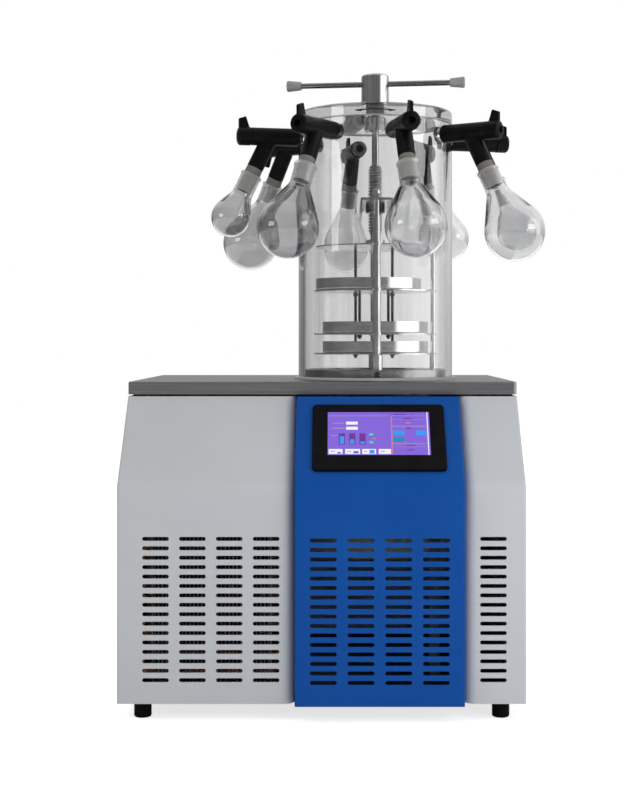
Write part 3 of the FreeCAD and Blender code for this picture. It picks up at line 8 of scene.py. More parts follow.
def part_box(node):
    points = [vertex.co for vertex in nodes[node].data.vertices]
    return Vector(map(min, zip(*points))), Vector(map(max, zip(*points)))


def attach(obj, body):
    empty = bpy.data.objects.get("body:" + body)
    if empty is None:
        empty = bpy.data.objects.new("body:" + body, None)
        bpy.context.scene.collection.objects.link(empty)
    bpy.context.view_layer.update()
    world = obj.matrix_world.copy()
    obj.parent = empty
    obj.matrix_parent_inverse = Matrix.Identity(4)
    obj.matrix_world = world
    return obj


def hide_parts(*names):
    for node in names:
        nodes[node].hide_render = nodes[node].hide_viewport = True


# Benchtop freeze dryer: cabinet, clear drying chamber, stoppering rack, valves and flasks.
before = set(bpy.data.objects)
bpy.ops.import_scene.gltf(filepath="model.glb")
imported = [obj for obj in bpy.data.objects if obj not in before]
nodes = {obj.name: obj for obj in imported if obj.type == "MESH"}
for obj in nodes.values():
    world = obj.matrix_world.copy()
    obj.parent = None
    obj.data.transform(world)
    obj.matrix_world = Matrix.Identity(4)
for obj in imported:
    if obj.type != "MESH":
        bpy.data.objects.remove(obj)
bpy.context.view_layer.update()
scene = bpy.context.scene
perMetre = 1000.0  # shapes made here are in millimetres

print("camera")
cameraSettings = {
    "place": (0.02775, -2.485, 0.573),  # level, square to the cabinet's front
    "lens": 66.0,
    "shift": (-0.0356, -0.075),
    "clipEnd": 50.0,
}
cameraData = bpy.data.cameras.new("studioCamera")
cameraData.lens = cameraSettings["lens"]
cameraData.shift_x, cameraData.shift_y = cameraSettings["shift"]
cameraData.clip_end = cameraSettings["clipEnd"]
camera = bpy.data.objects.new("studioCamera", cameraData)
camera.location = cameraSettings["place"]
camera.rotation_euler = (math.radians(90), 0, 0)
scene.collection.objects.link(camera)
scene.camera = camera
scene.view_settings.view_transform = "Standard"


# Adds a node to a material's tree, sets its properties and inputs, and gives it back.
def addNode(tree, kind, inputs=None, **settings):
    node = tree.nodes.new(kind)
    for key, value in settings.items():
        setattr(node, key, value)
    for key, value in (inputs or {}).items():
        node.inputs[key].default_value = value
    return node


# Wires (node, output, node, input) into a tree.
def wire(tree, *joins):
    for source, output, target, entry in joins:
        tree.links.new(source.outputs[output], target.inputs[entry])


# A material whose plain values sit on the shader's own sockets.
def newFinish(name, look):
    finish = bpy.data.materials.new(name)
    finish.use_nodes = True
    shader = finish.node_tree.nodes["Principled BSDF"]
    for socket, value in look.items():
        shader.inputs[socket].default_value = value
    return finish, finish.node_tree, shader


# Noise in the object's own metres: scale is in cells per metre along x, y and z.
def grainOf(tree, scale, detail=3.0):
    place = addNode(tree, "ShaderNodeTexCoord")
    stretch = addNode(tree, "ShaderNodeMapping", {"Scale": scale})
    noise = addNode(tree, "ShaderNodeTexNoise", {"Scale": 1.0, "Detail": detail, "Roughness": 0.55})
    wire(tree, (place, "Object", stretch, "Vector"), (stretch, "Vector", noise, "Vector"))
    return noise.outputs["Fac"]


noiseSpan = (0.3, 0.7)  # most of the noise lies between these


def tintFrom(tree, shader, grain, dark, light):
    ramp = addNode(tree, "ShaderNodeValToRGB")
    for stop, position, colour in zip(ramp.color_ramp.elements, noiseSpan, (dark, light)):
        stop.position = position
        stop.color = (*colour, 1)
    tree.links.new(grain, ramp.inputs["Fac"])
    tree.links.new(ramp.outputs["Color"], shader.inputs["Base Color"])


def glossFrom(tree, shader, grain, low, high):
    spread = addNode(tree, "ShaderNodeMapRange", {"From Min": noiseSpan[0], "From Max": noiseSpan[1],
                                                  "To Min": low, "To Max": high})
    tree.links.new(grain, spread.inputs["Value"])
    tree.links.new(spread.outputs["Result"], shader.inputs["Roughness"])


def reliefFrom(tree, shader, grain, strength, height):
    bump = addNode(tree, "ShaderNodeBump", {"Strength": strength, "Distance": height})
    tree.links.new(grain, bump.inputs["Height"])
    tree.links.new(bump.outputs["Normal"], shader.inputs["Normal"])


# A solid finish: broad tint, fine grain in the gloss and fine relief.
def solidFinish(name, s):
    finish, tree, shader = newFinish(name, s.get("look", {}))
    tintFrom(tree, shader, grainOf(tree, s["tintScale"]), s["dark"], s["light"])
    fine = grainOf(tree, s["grainScale"], detail=4.0)
    glossFrom(tree, shader, fine, *s["rough"])
    reliefFrom(tree, shader, fine, s["relief"], s["reliefHeight"])
    return finish


# Clear stuff that lamps and soft light pass, so that what is inside is lit.
def clearFinish(name, s):
    finish, tree, shader = newFinish(name, s["look"])
    haze = grainOf(tree, s["hazeScale"])
    place = addNode(tree, "ShaderNodeTexCoord")
    across = addNode(tree, "ShaderNodeSeparateXYZ")
    # towards +X the tint can get paler: a painted sheen of light falling from the right
    paintedSheen = addNode(tree, "ShaderNodeMath", {1: s.get("paintedSheen", 0.0)}, operation="MULTIPLY_ADD")
    wire(tree, (place, "Object", across, "Vector"), (across, "X", paintedSheen, 0))
    tree.links.new(haze, paintedSheen.inputs[2])
    tintFrom(tree, shader, paintedSheen.outputs["Value"], s["dark"], s["light"])
    glossFrom(tree, shader, haze, *s["rough"])
    rays = addNode(tree, "ShaderNodeLightPath")
    either = addNode(tree, "ShaderNodeMath", operation="MAXIMUM")
    through = addNode(tree, "ShaderNodeBsdfTransparent", {"Color": (*s["shade"], 1)})
    mix = addNode(tree, "ShaderNodeMixShader")
    wire(tree, (rays, "Is Shadow Ray", either, 0), (rays, "Is Diffuse Ray", either, 1),
         (either, "Value", mix, "Fac"), (shader, "BSDF", mix, 1), (through, "BSDF", mix, 2),
         (mix, "Shader", tree.nodes["Material Output"], "Surface"))
    return finish


print("finishes")
finishes = {
    "coverPaint": {  # pale grey powder coat
        "dark": (0.526, 0.537, 0.552), "light": (0.560, 0.572, 0.588), "tintScale": (5, 5, 5),
        "grainScale": (900, 900, 900), "rough": (0.46, 0.56), "relief": 0.12, "reliefHeight": 0.0002,
        "look": {"Specular IOR Level": 0.25}},
    "panelPaint": {  # deep blue enamel
        "dark": (0.0030, 0.066, 0.305), "light": (0.0042, 0.077, 0.340), "tintScale": (6, 6, 6),
        "grainScale": (700, 700, 700), "rough": (0.34, 0.44), "relief": 0.06, "reliefHeight": 0.0002,
        "look": {"Specular IOR Level": 0.12}},
    "deckSteel": {  # brushed along its width
        "dark": (0.22, 0.22, 0.225), "light": (0.30, 0.30, 0.305), "tintScale": (5, 500, 500),
        "grainScale": (9, 1600, 1600), "rough": (0.30, 0.44), "relief": 0.15, "reliefHeight": 0.0001,
        "look": {"Metallic": 1.0, "Specular Tint": (0.62, 0.62, 0.62, 1)}},
    "rackSteel": {  # polished, with fine turning marks
        "dark": (0.60, 0.60, 0.605), "light": (0.75, 0.75, 0.755), "tintScale": (30, 30, 30),
        "grainScale": (60, 60, 1400), "rough": (0.14, 0.24), "relief": 0.06, "reliefHeight": 0.0001,
        "look": {"Metallic": 1.0}},
    "traySteel": {
        "dark": (0.72, 0.72, 0.725), "light": (0.86, 0.86, 0.865), "tintScale": (24, 24, 24),
        "grainScale": (40, 40, 1100), "rough": (0.13, 0.21), "relief": 0.05, "reliefHeight": 0.0001,
        "look": {"Metallic": 1.0}},
    "handleSteel": {
        "dark": (0.36, 0.36, 0.37), "light": (0.70, 0.70, 0.71), "tintScale": (110, 110, 4),
        "grainScale": (50, 50, 1500), "rough": (0.16, 0.24), "relief": 0.05, "reliefHeight": 0.0001,
        "look": {"Metallic": 1.0}},
    "barSteel": {
        "dark": (0.22, 0.22, 0.225), "light": (0.30, 0.30, 0.305), "tintScale": (200, 30, 30),
        "grainScale": (60, 60, 60), "rough": (0.16, 0.24), "relief": 0.04, "reliefHeight": 0.0001,
        "look": {"Metallic": 1.0}},
    "rodSteel": {  # thin rods, dulled by handling
        "dark": (0.075, 0.075, 0.078), "light": (0.125, 0.125, 0.128), "tintScale": (60, 60, 60),
        "grainScale": (200, 200, 200), "rough": (0.30, 0.42), "relief": 0.05, "reliefHeight": 0.0001,
        "look": {"Metallic": 1.0, "Specular Tint": (0.5, 0.5, 0.5, 1)}},
    "threadSteel": {
        "dark": (0.34, 0.34, 0.345), "light": (0.44, 0.44, 0.445), "tintScale": (60, 60, 60),
        "grainScale": (200, 200, 200), "rough": (0.29, 0.34), "relief": 0.02, "reliefHeight": 0.0001,
        "look": {"Metallic": 1.0}},
    "nippleSteel": {
        "dark": (0.15, 0.15, 0.155), "light": (0.24, 0.24, 0.245), "tintScale": (60, 60, 60),
        "grainScale": (200, 200, 200), "rough": (0.26, 0.38), "relief": 0.08, "reliefHeight": 0.0001,
        "look": {"Metallic": 1.0}},
    "zincSteel": {
        "dark": (0.045, 0.045, 0.047), "light": (0.085, 0.085, 0.088), "tintScale": (40, 40, 40),
        "grainScale": (300, 300, 300), "rough": (0.42, 0.60), "relief": 0.1, "reliefHeight": 0.0002,
        "look": {"Metallic": 0.5}},
    "footRubber": {
        "dark": (0.0035, 0.0035, 0.0035), "light": (0.0070, 0.0070, 0.0070), "tintScale": (60, 60, 60),
        "grainScale": (900, 900, 900), "rough": (0.60, 0.78), "relief": 0.2, "reliefHeight": 0.0002,
        "look": {"Specular IOR Level": 0.06}},
    "valveRubber": {
        "dark": (0.0038, 0.0038, 0.0042), "light": (0.0074, 0.0074, 0.0080), "tintScale": (60, 60, 60),
        "grainScale": (700, 700, 700), "rough": (0.30, 0.42), "relief": 0.12, "reliefHeight": 0.0002,
        "look": {"Specular IOR Level": 0.08}},
    "sealSilicone": {
        "dark": (0.40, 0.40, 0.395), "light": (0.48, 0.48, 0.475), "tintScale": (30, 30, 30),
        "grainScale": (500, 500, 500), "rough": (0.45, 0.58), "relief": 0.1, "reliefHeight": 0.0002},
    "bezelPlastic": {
        "dark": (0.0030, 0.0028, 0.0036), "light": (0.0060, 0.0056, 0.0070), "tintScale": (40, 40, 40),
        "grainScale": (800, 800, 800), "rough": (0.20, 0.30), "relief": 0.03, "reliefHeight": 0.0001,
        "look": {"Specular IOR Level": 0.05}},
    "casePlastic": {
        "dark": (0.013, 0.013, 0.014), "light": (0.024, 0.024, 0.026), "tintScale": (50, 50, 50),
        "grainScale": (1200, 1200, 1200), "rough": (0.48, 0.62), "relief": 0.2, "reliefHeight": 0.0002},
    "trapFoam": {
        "dark": (0.50, 0.44, 0.28), "light": (0.66, 0.60, 0.42), "tintScale": (50, 50, 50),
        "grainScale": (350, 350, 350), "rough": (0.80, 0.95), "relief": 0.5, "reliefHeight": 0.0006},
    "copperTube": {
        "dark": (0.40, 0.13, 0.06), "light": (0.66, 0.27, 0.14), "tintScale": (50, 50, 50),
        "grainScale": (300, 300, 300), "rough": (0.26, 0.42), "relief": 0.08, "reliefHeight": 0.0001,
        "look": {"Metallic": 1.0}},
    "blackEnamel": {
        "dark": (0.010, 0.010, 0.011), "light": (0.018, 0.018, 0.020), "tintScale": (30, 30, 30),
        "grainScale": (600, 600, 600), "rough": (0.30, 0.42), "relief": 0.1, "reliefHeight": 0.0002},
    "finAluminium": {
        "dark": (0.22, 0.22, 0.22), "light": (0.34, 0.34, 0.34), "tintScale": (40, 40, 40),
        "grainScale": (500, 500, 500), "rough": (0.32, 0.48), "relief": 0.1, "reliefHeight": 0.0001,
        "look": {"Metallic": 1.0}},
    "conePlastic": {  # ground joints, warm off-white
        "dark": (0.138, 0.128, 0.112), "light": (0.194, 0.181, 0.158), "tintScale": (60, 60, 60),
        "grainScale": (900, 900, 900), "rough": (0.45, 0.60), "relief": 0.15, "reliefHeight": 0.0002},
    "capPlastic": {
        "dark": (0.25, 0.25, 0.246), "light": (0.33, 0.33, 0.326), "tintScale": (60, 60, 60),
        "grainScale": (800, 800, 800), "rough": (0.40, 0.52), "relief": 0.08, "reliefHeight": 0.0002},
}
clearFinishes = {
    "chamberAcrylic": {
        "look": {"Transmission Weight": 1.0, "IOR": 1.40}, "hazeScale": (30, 30, 0.8),
        "paintedSheen": 1.4,  # added to the noise per metre towards +X, so the tint gets paler that way: a painted sheen of the bright light at the right
        "dark": (0.64, 0.642, 0.644), "light": (0.85, 0.852, 0.854),
        "rough": (0.0, 0.02), "shade": (0.93, 0.93, 0.93)},
    "lidAcrylic": {
        "look": {"Transmission Weight": 1.0, "IOR": 1.49}, "hazeScale": (3, 3, 12),
        "dark": (0.33, 0.332, 0.335), "light": (0.37, 0.372, 0.375),
        "rough": (0.0, 0.02), "shade": (0.90, 0.90, 0.90)},
    "flaskGlass": {
        "look": {"Transmission Weight": 1.0, "IOR": 1.47}, "hazeScale": (30, 30, 30),
        "dark": (0.575, 0.577, 0.58), "light": (0.615, 0.617, 0.62),
        "rough": (0.0, 0.02), "shade": (0.92, 0.925, 0.925)},
    # a paler copy of the flask glass, the same glass: painted light on the flasks at the back and sides
    "paintedLitGlass": {
        "look": {"Transmission Weight": 1.0, "IOR": 1.47}, "hazeScale": (30, 30, 30),
        "dark": (0.78, 0.782, 0.785), "light": (0.82, 0.822, 0.825),
        "rough": (0.0, 0.02), "shade": (0.92, 0.925, 0.925)},
    "groundGlass": {  # the flasks' ground necks
        "look": {"Transmission Weight": 0.92, "IOR": 1.47}, "hazeScale": (160, 160, 160),
        "dark": (0.82, 0.82, 0.812), "light": (0.88, 0.88, 0.872),
        "rough": (0.27, 0.31), "shade": (0.85, 0.85, 0.85)},
}
made = {name: solidFinish(name, settings) for name, settings in finishes.items()}
made.update({name: clearFinish(name, settings) for name, settings in clearFinishes.items()})

finishOf = {
    "coverPaint": ["left_cover", "right_cover", "rear_cover"],
    "panelPaint": ["front_cover"],
    "deckSteel": ["top_plate"],
    "threadSteel": ["rack_base"],
    "rackSteel": ["rack_posts", "post_nuts", "rack_bridge", "press_nut", "press_plate", "press_screw",
                  "top_shelf", "middle_shelf", "bottom_shelf"],
    "rodSteel": ["press_hangers", "shelf_hangers"],
    "nippleSteel": ["port_nipples"],
    "traySteel": ["cold_trap", "bottom_tray", "middle_tray", "top_tray"],
    "handleSteel": ["handle_hub", "drive_shaft", "shaft_gland", "vacuum_port", "drain_valve",
                    "drain_lever"],
    "barSteel": ["handle_bar"],
    "zincSteel": ["base_frame", "fan_shroud"],
    "footRubber": ["rubber_feet"],
    "valveRubber": ["valve_bodies"] + [f"valve_knob_{k}" for k in range(1, 9)],
    "sealSilicone": ["chamber_seals"],
    "bezelPlastic": ["display_bezel", "display_screen"],
    "casePlastic": ["control_box", "power_inlet", "power_switch", "fan_rotor"],
    "trapFoam": ["trap_insulation"],
    "copperTube": ["evaporator_coil", "refrigerant_pipes"],
    "blackEnamel": ["compressor"],
    "finAluminium": ["condenser"],
    "conePlastic": ["joint_cones"],
    "capPlastic": ["handle_caps"],
    "chamberAcrylic": ["chamber_tube"],
    "lidAcrylic": ["chamber_lid"],
    "flaskGlass": ["large_flasks", "medium_flasks", "small_flask"],
}
for finishName, nodeNames in finishOf.items():
    for nodeName in nodeNames:
        mesh = nodes[nodeName].data
        mesh.materials.clear()
        mesh.materials.append(made[finishName])


print("studio")
studio = {
    "floorSize": 14.0, "floorDrop": 0.0004, "floorGlow": 0.72,
    "floorLook": {"Base Color": (0.86, 0.86, 0.86, 1), "Roughness": 0.9},
    "worldSoft": 0.50,  # light that the white room gives the object
    "roomDim": 0.19,  # how dark the room's dim side mirrors, to the front and left
    "wallAt": (0.20, 0.42, 0.88),  # its white side, overhead and falling off to the back
    "wallEdge": (0.2, 0.75),  # the cosines where it starts and is full
    "boxAt": (0.955, -0.256, 0.12), "boxGain": 2.2,  # a bright softbox at the right
    "boxEdge": (0.80, 0.90),
    "lamps": [  # name, place, aim, width, power, colour
        ("keyLamp", (-1.4, -1.8, 2.6), (0.0, 0.0, 0.5), 1.6, 15.0, (1.0, 0.985, 0.96)),
        ("fillLamp", (0.9, -1.4, 0.7), (0.1, 0.0, 0.4), 1.0, 9.0, (0.90, 0.95, 1.0)),
        ("backLamp", (-0.6, 2.2, 2.3), (0.0, 0.0, 0.7), 1.6, 18.0, (1.0, 1.0, 1.0)),
    ],
}


# An area lamp aimed at a point. It isn't seen through glass.
def areaLamp(name, place, aim, wide, high, power, colour=(1, 1, 1)):
    data = bpy.data.lights.new(name, "AREA")
    data.shape = "RECTANGLE"
    data.size, data.size_y = wide, high
    data.energy = power
    data.color = colour
    lamp = bpy.data.objects.new(name, data)
    lamp.location = place
    lamp.rotation_euler = (Vector(aim) - Vector(place)).to_track_quat("-Z", "Y").to_euler()
    lamp.visible_transmission = False
    scene.collection.objects.link(lamp)
    return lamp


for name, place, aim, width, power, colour in studio["lamps"]:
    areaLamp(name, place, aim, width, width, power, colour).visible_glossy = False


# A side of the mirrored room: its light rises smoothly between two cosines of the angle to it.
def roomSide(tree, around, aim, edge, low, high):
    towards = addNode(tree, "ShaderNodeVectorMath", {1: aim}, operation="DOT_PRODUCT")
    light = addNode(tree, "ShaderNodeMapRange", {"From Min": edge[0], "From Max": edge[1],
                                                 "To Min": low, "To Max": high},
                    interpolation_type="SMOOTHSTEP")
    wire(tree, (around, "Generated", towards, 0), (towards, "Value", light, "Value"))
    return light


world = bpy.data.worlds.new("whiteRoom")
scene.world = world
world.use_nodes = True
tree = world.node_tree
soft = tree.nodes["Background"]
soft.inputs["Color"].default_value = (1, 1, 1, 1)
soft.inputs["Strength"].default_value = studio["worldSoft"]
seen = addNode(tree, "ShaderNodeBackground", {"Color": (1, 1, 1, 1), "Strength": 1.0})
mirrored = addNode(tree, "ShaderNodeBackground", {"Color": (1, 1, 1, 1)})
rays = addNode(tree, "ShaderNodeLightPath")
bounced = addNode(tree, "ShaderNodeMath", {1: 0.5}, operation="GREATER_THAN")
direct = addNode(tree, "ShaderNodeMath", {1: 0.5}, operation="LESS_THAN")
straight = addNode(tree, "ShaderNodeMath", operation="MULTIPLY")
through = addNode(tree, "ShaderNodeMath", operation="MAXIMUM")
lit = addNode(tree, "ShaderNodeMixShader")
mix = addNode(tree, "ShaderNodeMixShader")
# polished steel mirrors a white ceiling, a softbox at the right, and a dim room elsewhere
around = addNode(tree, "ShaderNodeTexCoord")
wall = roomSide(tree, around, studio["wallAt"], studio["wallEdge"], studio["roomDim"], 1.0)
lightBox = roomSide(tree, around, studio["boxAt"], studio["boxEdge"], 0.0, studio["boxGain"])
sides = addNode(tree, "ShaderNodeMath", operation="ADD")
wire(tree, (wall, "Result", sides, 0), (lightBox, "Result", sides, 1), (sides, "Value", mirrored, "Strength"))
# the eye, and what is seen straight through glass, gets plain white
wire(tree, (rays, "Glossy Depth", bounced, 0), (rays, "Glossy Depth", direct, 0),
     (rays, "Is Transmission Ray", straight, 0), (direct, "Value", straight, 1),
     (rays, "Is Camera Ray", through, 0), (straight, "Value", through, 1),
     (bounced, "Value", lit, "Fac"), (soft, "Background", lit, 1), (mirrored, "Background", lit, 2),
     (through, "Value", mix, "Fac"), (lit, "Shader", mix, 1), (seen, "Background", mix, 2),
     (mix, "Shader", tree.nodes["World Output"], "Surface"))

half = studio["floorSize"] / 2
floorMesh = bpy.data.meshes.new("studioFloor")
floorMesh.from_pydata([(-half, -half, 0), (half, -half, 0), (half, half, 0), (-half, half, 0)], [],
                      [(0, 1, 2, 3)])
floorFinish, floorTree, floorShader = newFinish("floorWhite", studio["floorLook"])
# the floor glows white to the eye and to glass, and still takes the object's shadow
glow = addNode(floorTree, "ShaderNodeEmission", {"Color": (1, 1, 1, 1)})
rays = addNode(floorTree, "ShaderNodeLightPath")
eye = addNode(floorTree, "ShaderNodeMath", operation="MAXIMUM")
share = addNode(floorTree, "ShaderNodeMath", {1: studio["floorGlow"]}, operation="MULTIPLY")
both = addNode(floorTree, "ShaderNodeAddShader")
wire(floorTree, (rays, "Is Camera Ray", eye, 0), (rays, "Is Transmission Ray", eye, 1),
     (eye, "Value", share, 0), (share, "Value", glow, "Strength"),
     (floorShader, "BSDF", both, 0), (glow, "Emission", both, 1),
     (both, "Shader", floorTree.nodes["Material Output"], "Surface"))
floorMesh.materials.append(floorFinish)
floor = bpy.data.objects.new("studioFloor", floorMesh)
floor.location.z = -studio["floorDrop"]
scene.collection.objects.link(floor)


# The k-th of the even steps round a ring about the Z axis.
def onRing(radius, k, steps, height):
    a = 2 * math.pi * k / steps
    return Vector((radius * math.cos(a), radius * math.sin(a), height))


# Turns a half outline of (radius, height) into rings of faces. What part gives for a row is the
# number of its coat.
def lathe(shape, outline, steps, place, part=lambda row: 0):
    rings = []
    for radius, height in outline:
        if radius == 0:
            rings.append([shape.verts.new(place @ Vector((0, 0, height)))])
            continue
        rings.append([shape.verts.new(place @ onRing(radius, k, steps, height)) for k in range(steps)])
    for row, (low, high) in enumerate(zip(rings, rings[1:])):
        for k in range(steps):
            n = (k + 1) % steps
            corners = [low[k % len(low)], low[n % len(low)], high[n % len(high)], high[k % len(high)]]
            face = shape.faces.new(list(dict.fromkeys(corners)))
            face.material_index = part(row)
            face.smooth = True


# Makes a finished bmesh into a piece that rides on a body.
def addPiece(name, shape, coats, body, replaced=(), crease=32):
    bmesh.ops.recalc_face_normals(shape, faces=shape.faces)
    mesh = bpy.data.meshes.new(name)
    shape.transform(Matrix.Scale(1 / perMetre, 4))
    shape.to_mesh(mesh)
    shape.free()
    for coat in coats:
        mesh.materials.append(made[coat])
    mesh.set_sharp_from_angle(angle=math.radians(crease))
    piece = bpy.data.objects.new(name, mesh)
    scene.collection.objects.link(piece)
    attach(piece, body)
    if replaced:
        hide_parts(*replaced)
    return piece


print("flasks")
flaskSettings = {
    "wall": 2.0, "mouth": 14.3, "throat": 12.7, "coneLong": 32.0,
    "neck": 17.0, "neckLong": 34.0, "rim": 18.5, "rimHigh": 4.0, "bend": 22.0,
    "outerCorner": 4.0, "innerCorner": 7.0,  # from the neck's end down to the corner that is bent
    "lip": 1.0, "steps": 96, "bendSteps": 10, "ballSteps": 40,
    "lean": 26.0, "reach": 182.0, "drop": 72.0,  # how they hang from the ports
    # ball radius, length and ports
    "sizes": {"large_flasks": (49.0, 162.0, (0, 1, 4, 5, 7)), "medium_flasks": (41.0, 140.0, (2, 3)),
              "small_flask": (33.0, 113.0, (6,))},
    "paintedLitPorts": (0, 1, 2, 3, 4),  # ports whose flasks get the paler copy of the glass, which is painted light
}
chamber = {"x": 88.0, "y": 24.0, "portLine": 915.0, "firstPort": 12.5, "ports": 8}


# From the neck round a bent corner at (startR, startZ), down the shoulder and round the ball.
def bulbSide(startR, startZ, ball, centreZ):
    bend, bendSteps, ballSteps = (flaskSettings[key] for key in ("bend", "bendSteps", "ballSteps"))
    reach = Vector((startR, startZ - centreZ))
    turn = math.atan2(reach.y, reach.x) - math.acos(ball / reach.length)
    touch = Vector((ball * math.cos(turn), centreZ + ball * math.sin(turn)))
    slope = (touch - Vector((startR, startZ))).normalized()
    lean = math.atan2(slope.x, -slope.y)
    top = startZ + bend * math.tan(lean / 2)
    side = []
    for k in range(bendSteps + 1):
        a = lean * k / bendSteps
        side.append((startR + bend * (1 - math.cos(a)), top - bend * math.sin(a)))
    for k in range(ballSteps + 1):
        a = turn - (turn + math.pi / 2) * k / ballSteps
        side.append((ball * math.cos(a), centreZ + ball * math.sin(a)))
    side[-1] = (0, centreZ - ball)
    return side


def portPlace(k):
    turn = math.radians(chamber["firstPort"] + k * 360 / chamber["ports"])
    return Matrix.Translation((chamber["x"], chamber["y"], 0)) @ Matrix.Rotation(turn, 4, "Z")


s = flaskSettings
lean = math.radians(s["lean"])
mouthAt = (0, -s["reach"] - s["drop"] * math.sin(lean), chamber["portLine"] - s["drop"] * math.cos(lean))
hang = Matrix.Translation(mouthAt) @ Matrix.Rotation(-lean, 4, "X")
glass = [nodes["chamber_tube"], nodes["chamber_lid"]]
coats = ["flaskGlass", "groundGlass", "paintedLitGlass"]
for nodeName, (ball, long, places) in s["sizes"].items():
    centreZ = ball - long
    outside = bulbSide(s["neck"], -s["neckLong"] - s["outerCorner"], ball, centreZ)
    inside = bulbSide(s["throat"], -s["neckLong"] - s["innerCorner"], ball - s["wall"], centreZ)
    rim = [(s["neck"], -s["rimHigh"] - s["lip"]), (s["rim"], -s["rimHigh"] + s["lip"]),
           (s["rim"], -s["lip"]), (s["rim"] - s["lip"], 0)]
    bore = [(s["mouth"], 0), (s["throat"], -s["coneLong"])]
    outline = outside[::-1] + rim + bore + inside
    ground = (len(outside) - 1, len(outside) + len(rim))  # rows of the neck, rim and mouth
    shape = bmesh.new()
    for k in places:
        # the paler copy of the glass is painted light, not a different glass
        clear = coats.index("paintedLitGlass" if k in s["paintedLitPorts"] else "flaskGlass")
        lathe(shape, outline, s["steps"], portPlace(k) @ hang,
              part=lambda row: coats.index("groundGlass") if ground[0] <= row <= ground[1] else clear)
    glass.append(addPiece(nodeName.replace("_f", "F"), shape, coats, "cabinet", [nodeName]))

# two bright windows that only the glass and the clear chamber mirror
windowSettings = {  # place, aim, width, height, power
    "windowRight": ((1.96, -1.0, 1.15), (0.0, 0.0, 0.8), 1.1, 0.5, 12.0),
    "windowLeft": ((-1.85, -1.2, 1.10), (0.0, 0.0, 0.8), 0.8, 0.5, 9.0),
}
mirrors = bpy.data.collections.new("clearPieces")
for piece in glass:
    mirrors.objects.link(piece)
for name, window in windowSettings.items():
    areaLamp(name, *window).light_linking.receiver_collection = mirrors

print("press screw")
threadSettings = {
    "crest": 12.5, "root": 9.5, "pitch": 5.0, "steps": 48, "low": 754.0, "high": 868.5,
    "rows": 8, "wave": [0.0, 0.15, 0.5, 0.85, 1.0, 0.85, 0.5, 0.15],  # rings to a turn and their heights
    "neck": 8.0, "journal": 732.1, "top": 870.0, "bevel": 1.0,
    "bore": 6.2, "boreEnd": 757.0, "flat": 4.7, "turn": -8.0, "crease": 26,
}


# One sweep of a round-topped thread: each step round lifts the wave by its share of the pitch.
def threadShape(t):
    shape = bmesh.new()
    rows, wave, steps = t["rows"], t["wave"], t["steps"]
    total = int((t["high"] - t["low"]) / t["pitch"]) * rows + 1
    grid = []
    for row in range(total):
        fade = min(1.0, row / rows, (total - 1 - row) / rows)
        z = t["low"] + (t["high"] - t["low"]) * row / (total - 1)
        ring = []
        for k in range(steps):
            phase = (row / rows - k / steps) % 1.0 * rows
            near, rest = int(phase) % rows, phase % 1
            share = wave[near] * (1 - rest) + wave[(near + 1) % rows] * rest
            radius = t["root"] + (t["crest"] - t["root"]) * share * fade
            ring.append(shape.verts.new(onRing(radius, k, steps, z)))
        grid.append(ring)

    def ringAt(radius, z):
        return [shape.verts.new(onRing(radius, k, steps, z)) for k in range(steps)]

    # the bore keeps the flats of the shaft that slides in it
    def boreAt(z):
        ring = []
        for k in range(steps):
            corner = onRing(t["bore"], k, steps, z)
            corner.y = max(-t["flat"], min(t["flat"], corner.y))
            ring.append(shape.verts.new(corner))
        return ring

    rings = [ringAt(t["neck"], t["journal"]), ringAt(t["neck"], t["low"])] + grid
    rings += [ringAt(t["root"] - t["bevel"], t["top"]), boreAt(t["top"]), boreAt(t["boreEnd"])]
    for low, high in zip(rings, rings[1:]):
        for k in range(steps):
            n = (k + 1) % steps
            shape.faces.new((low[k], low[n], high[n], high[k])).smooth = True
    shape.faces.new(rings[0][::-1])
    shape.faces.new(rings[-1])
    return shape


shape = threadShape(threadSettings)
turn = Matrix.Rotation(math.radians(threadSettings["turn"]), 4, "Z")
shape.transform(Matrix.Translation((chamber["x"], chamber["y"], 0)) @ turn)
addPiece("pressScrewThread", shape, ["threadSteel"], "screw", ["press_screw"],
         threadSettings["crease"])

print("collar screws")
collarScrewSettings = {
    "collar": 8.6, "turn": -52.0, "sunk": 0.5, "up": 2.5,  # on the collar round the front post
    "steps": 24,
    "outline": [(0, 1.3), (0.9, 1.3), (0.9, 2.4), (1.5, 2.4), (2.2, 1.8), (2.5, 0.9), (2.5, -0.5),
                (0, -0.5)],
    "plates": {"pressScrewHead": ("press_plate", "press"), "topScrewHead": ("top_shelf", "upper_shelf"),
               "middleScrewHead": ("middle_shelf", "lower_shelf")},
}
s = collarScrewSettings
for name, (plate, body) in s["plates"].items():
    low = perMetre * Vector(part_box(plate)[0])
    place = Matrix.Translation((chamber["x"], low.y + s["collar"], low.z + s["up"]))
    place = place @ Matrix.Rotation(math.radians(s["turn"]), 4, "Z")
    place = place @ Matrix.Translation((0, s["sunk"] - s["collar"], 0))
    shape = bmesh.new()
    lathe(shape, s["outline"], s["steps"], place @ Matrix.Rotation(math.radians(90), 4, "X"))
    addPiece(name, shape, ["rackSteel"], body)

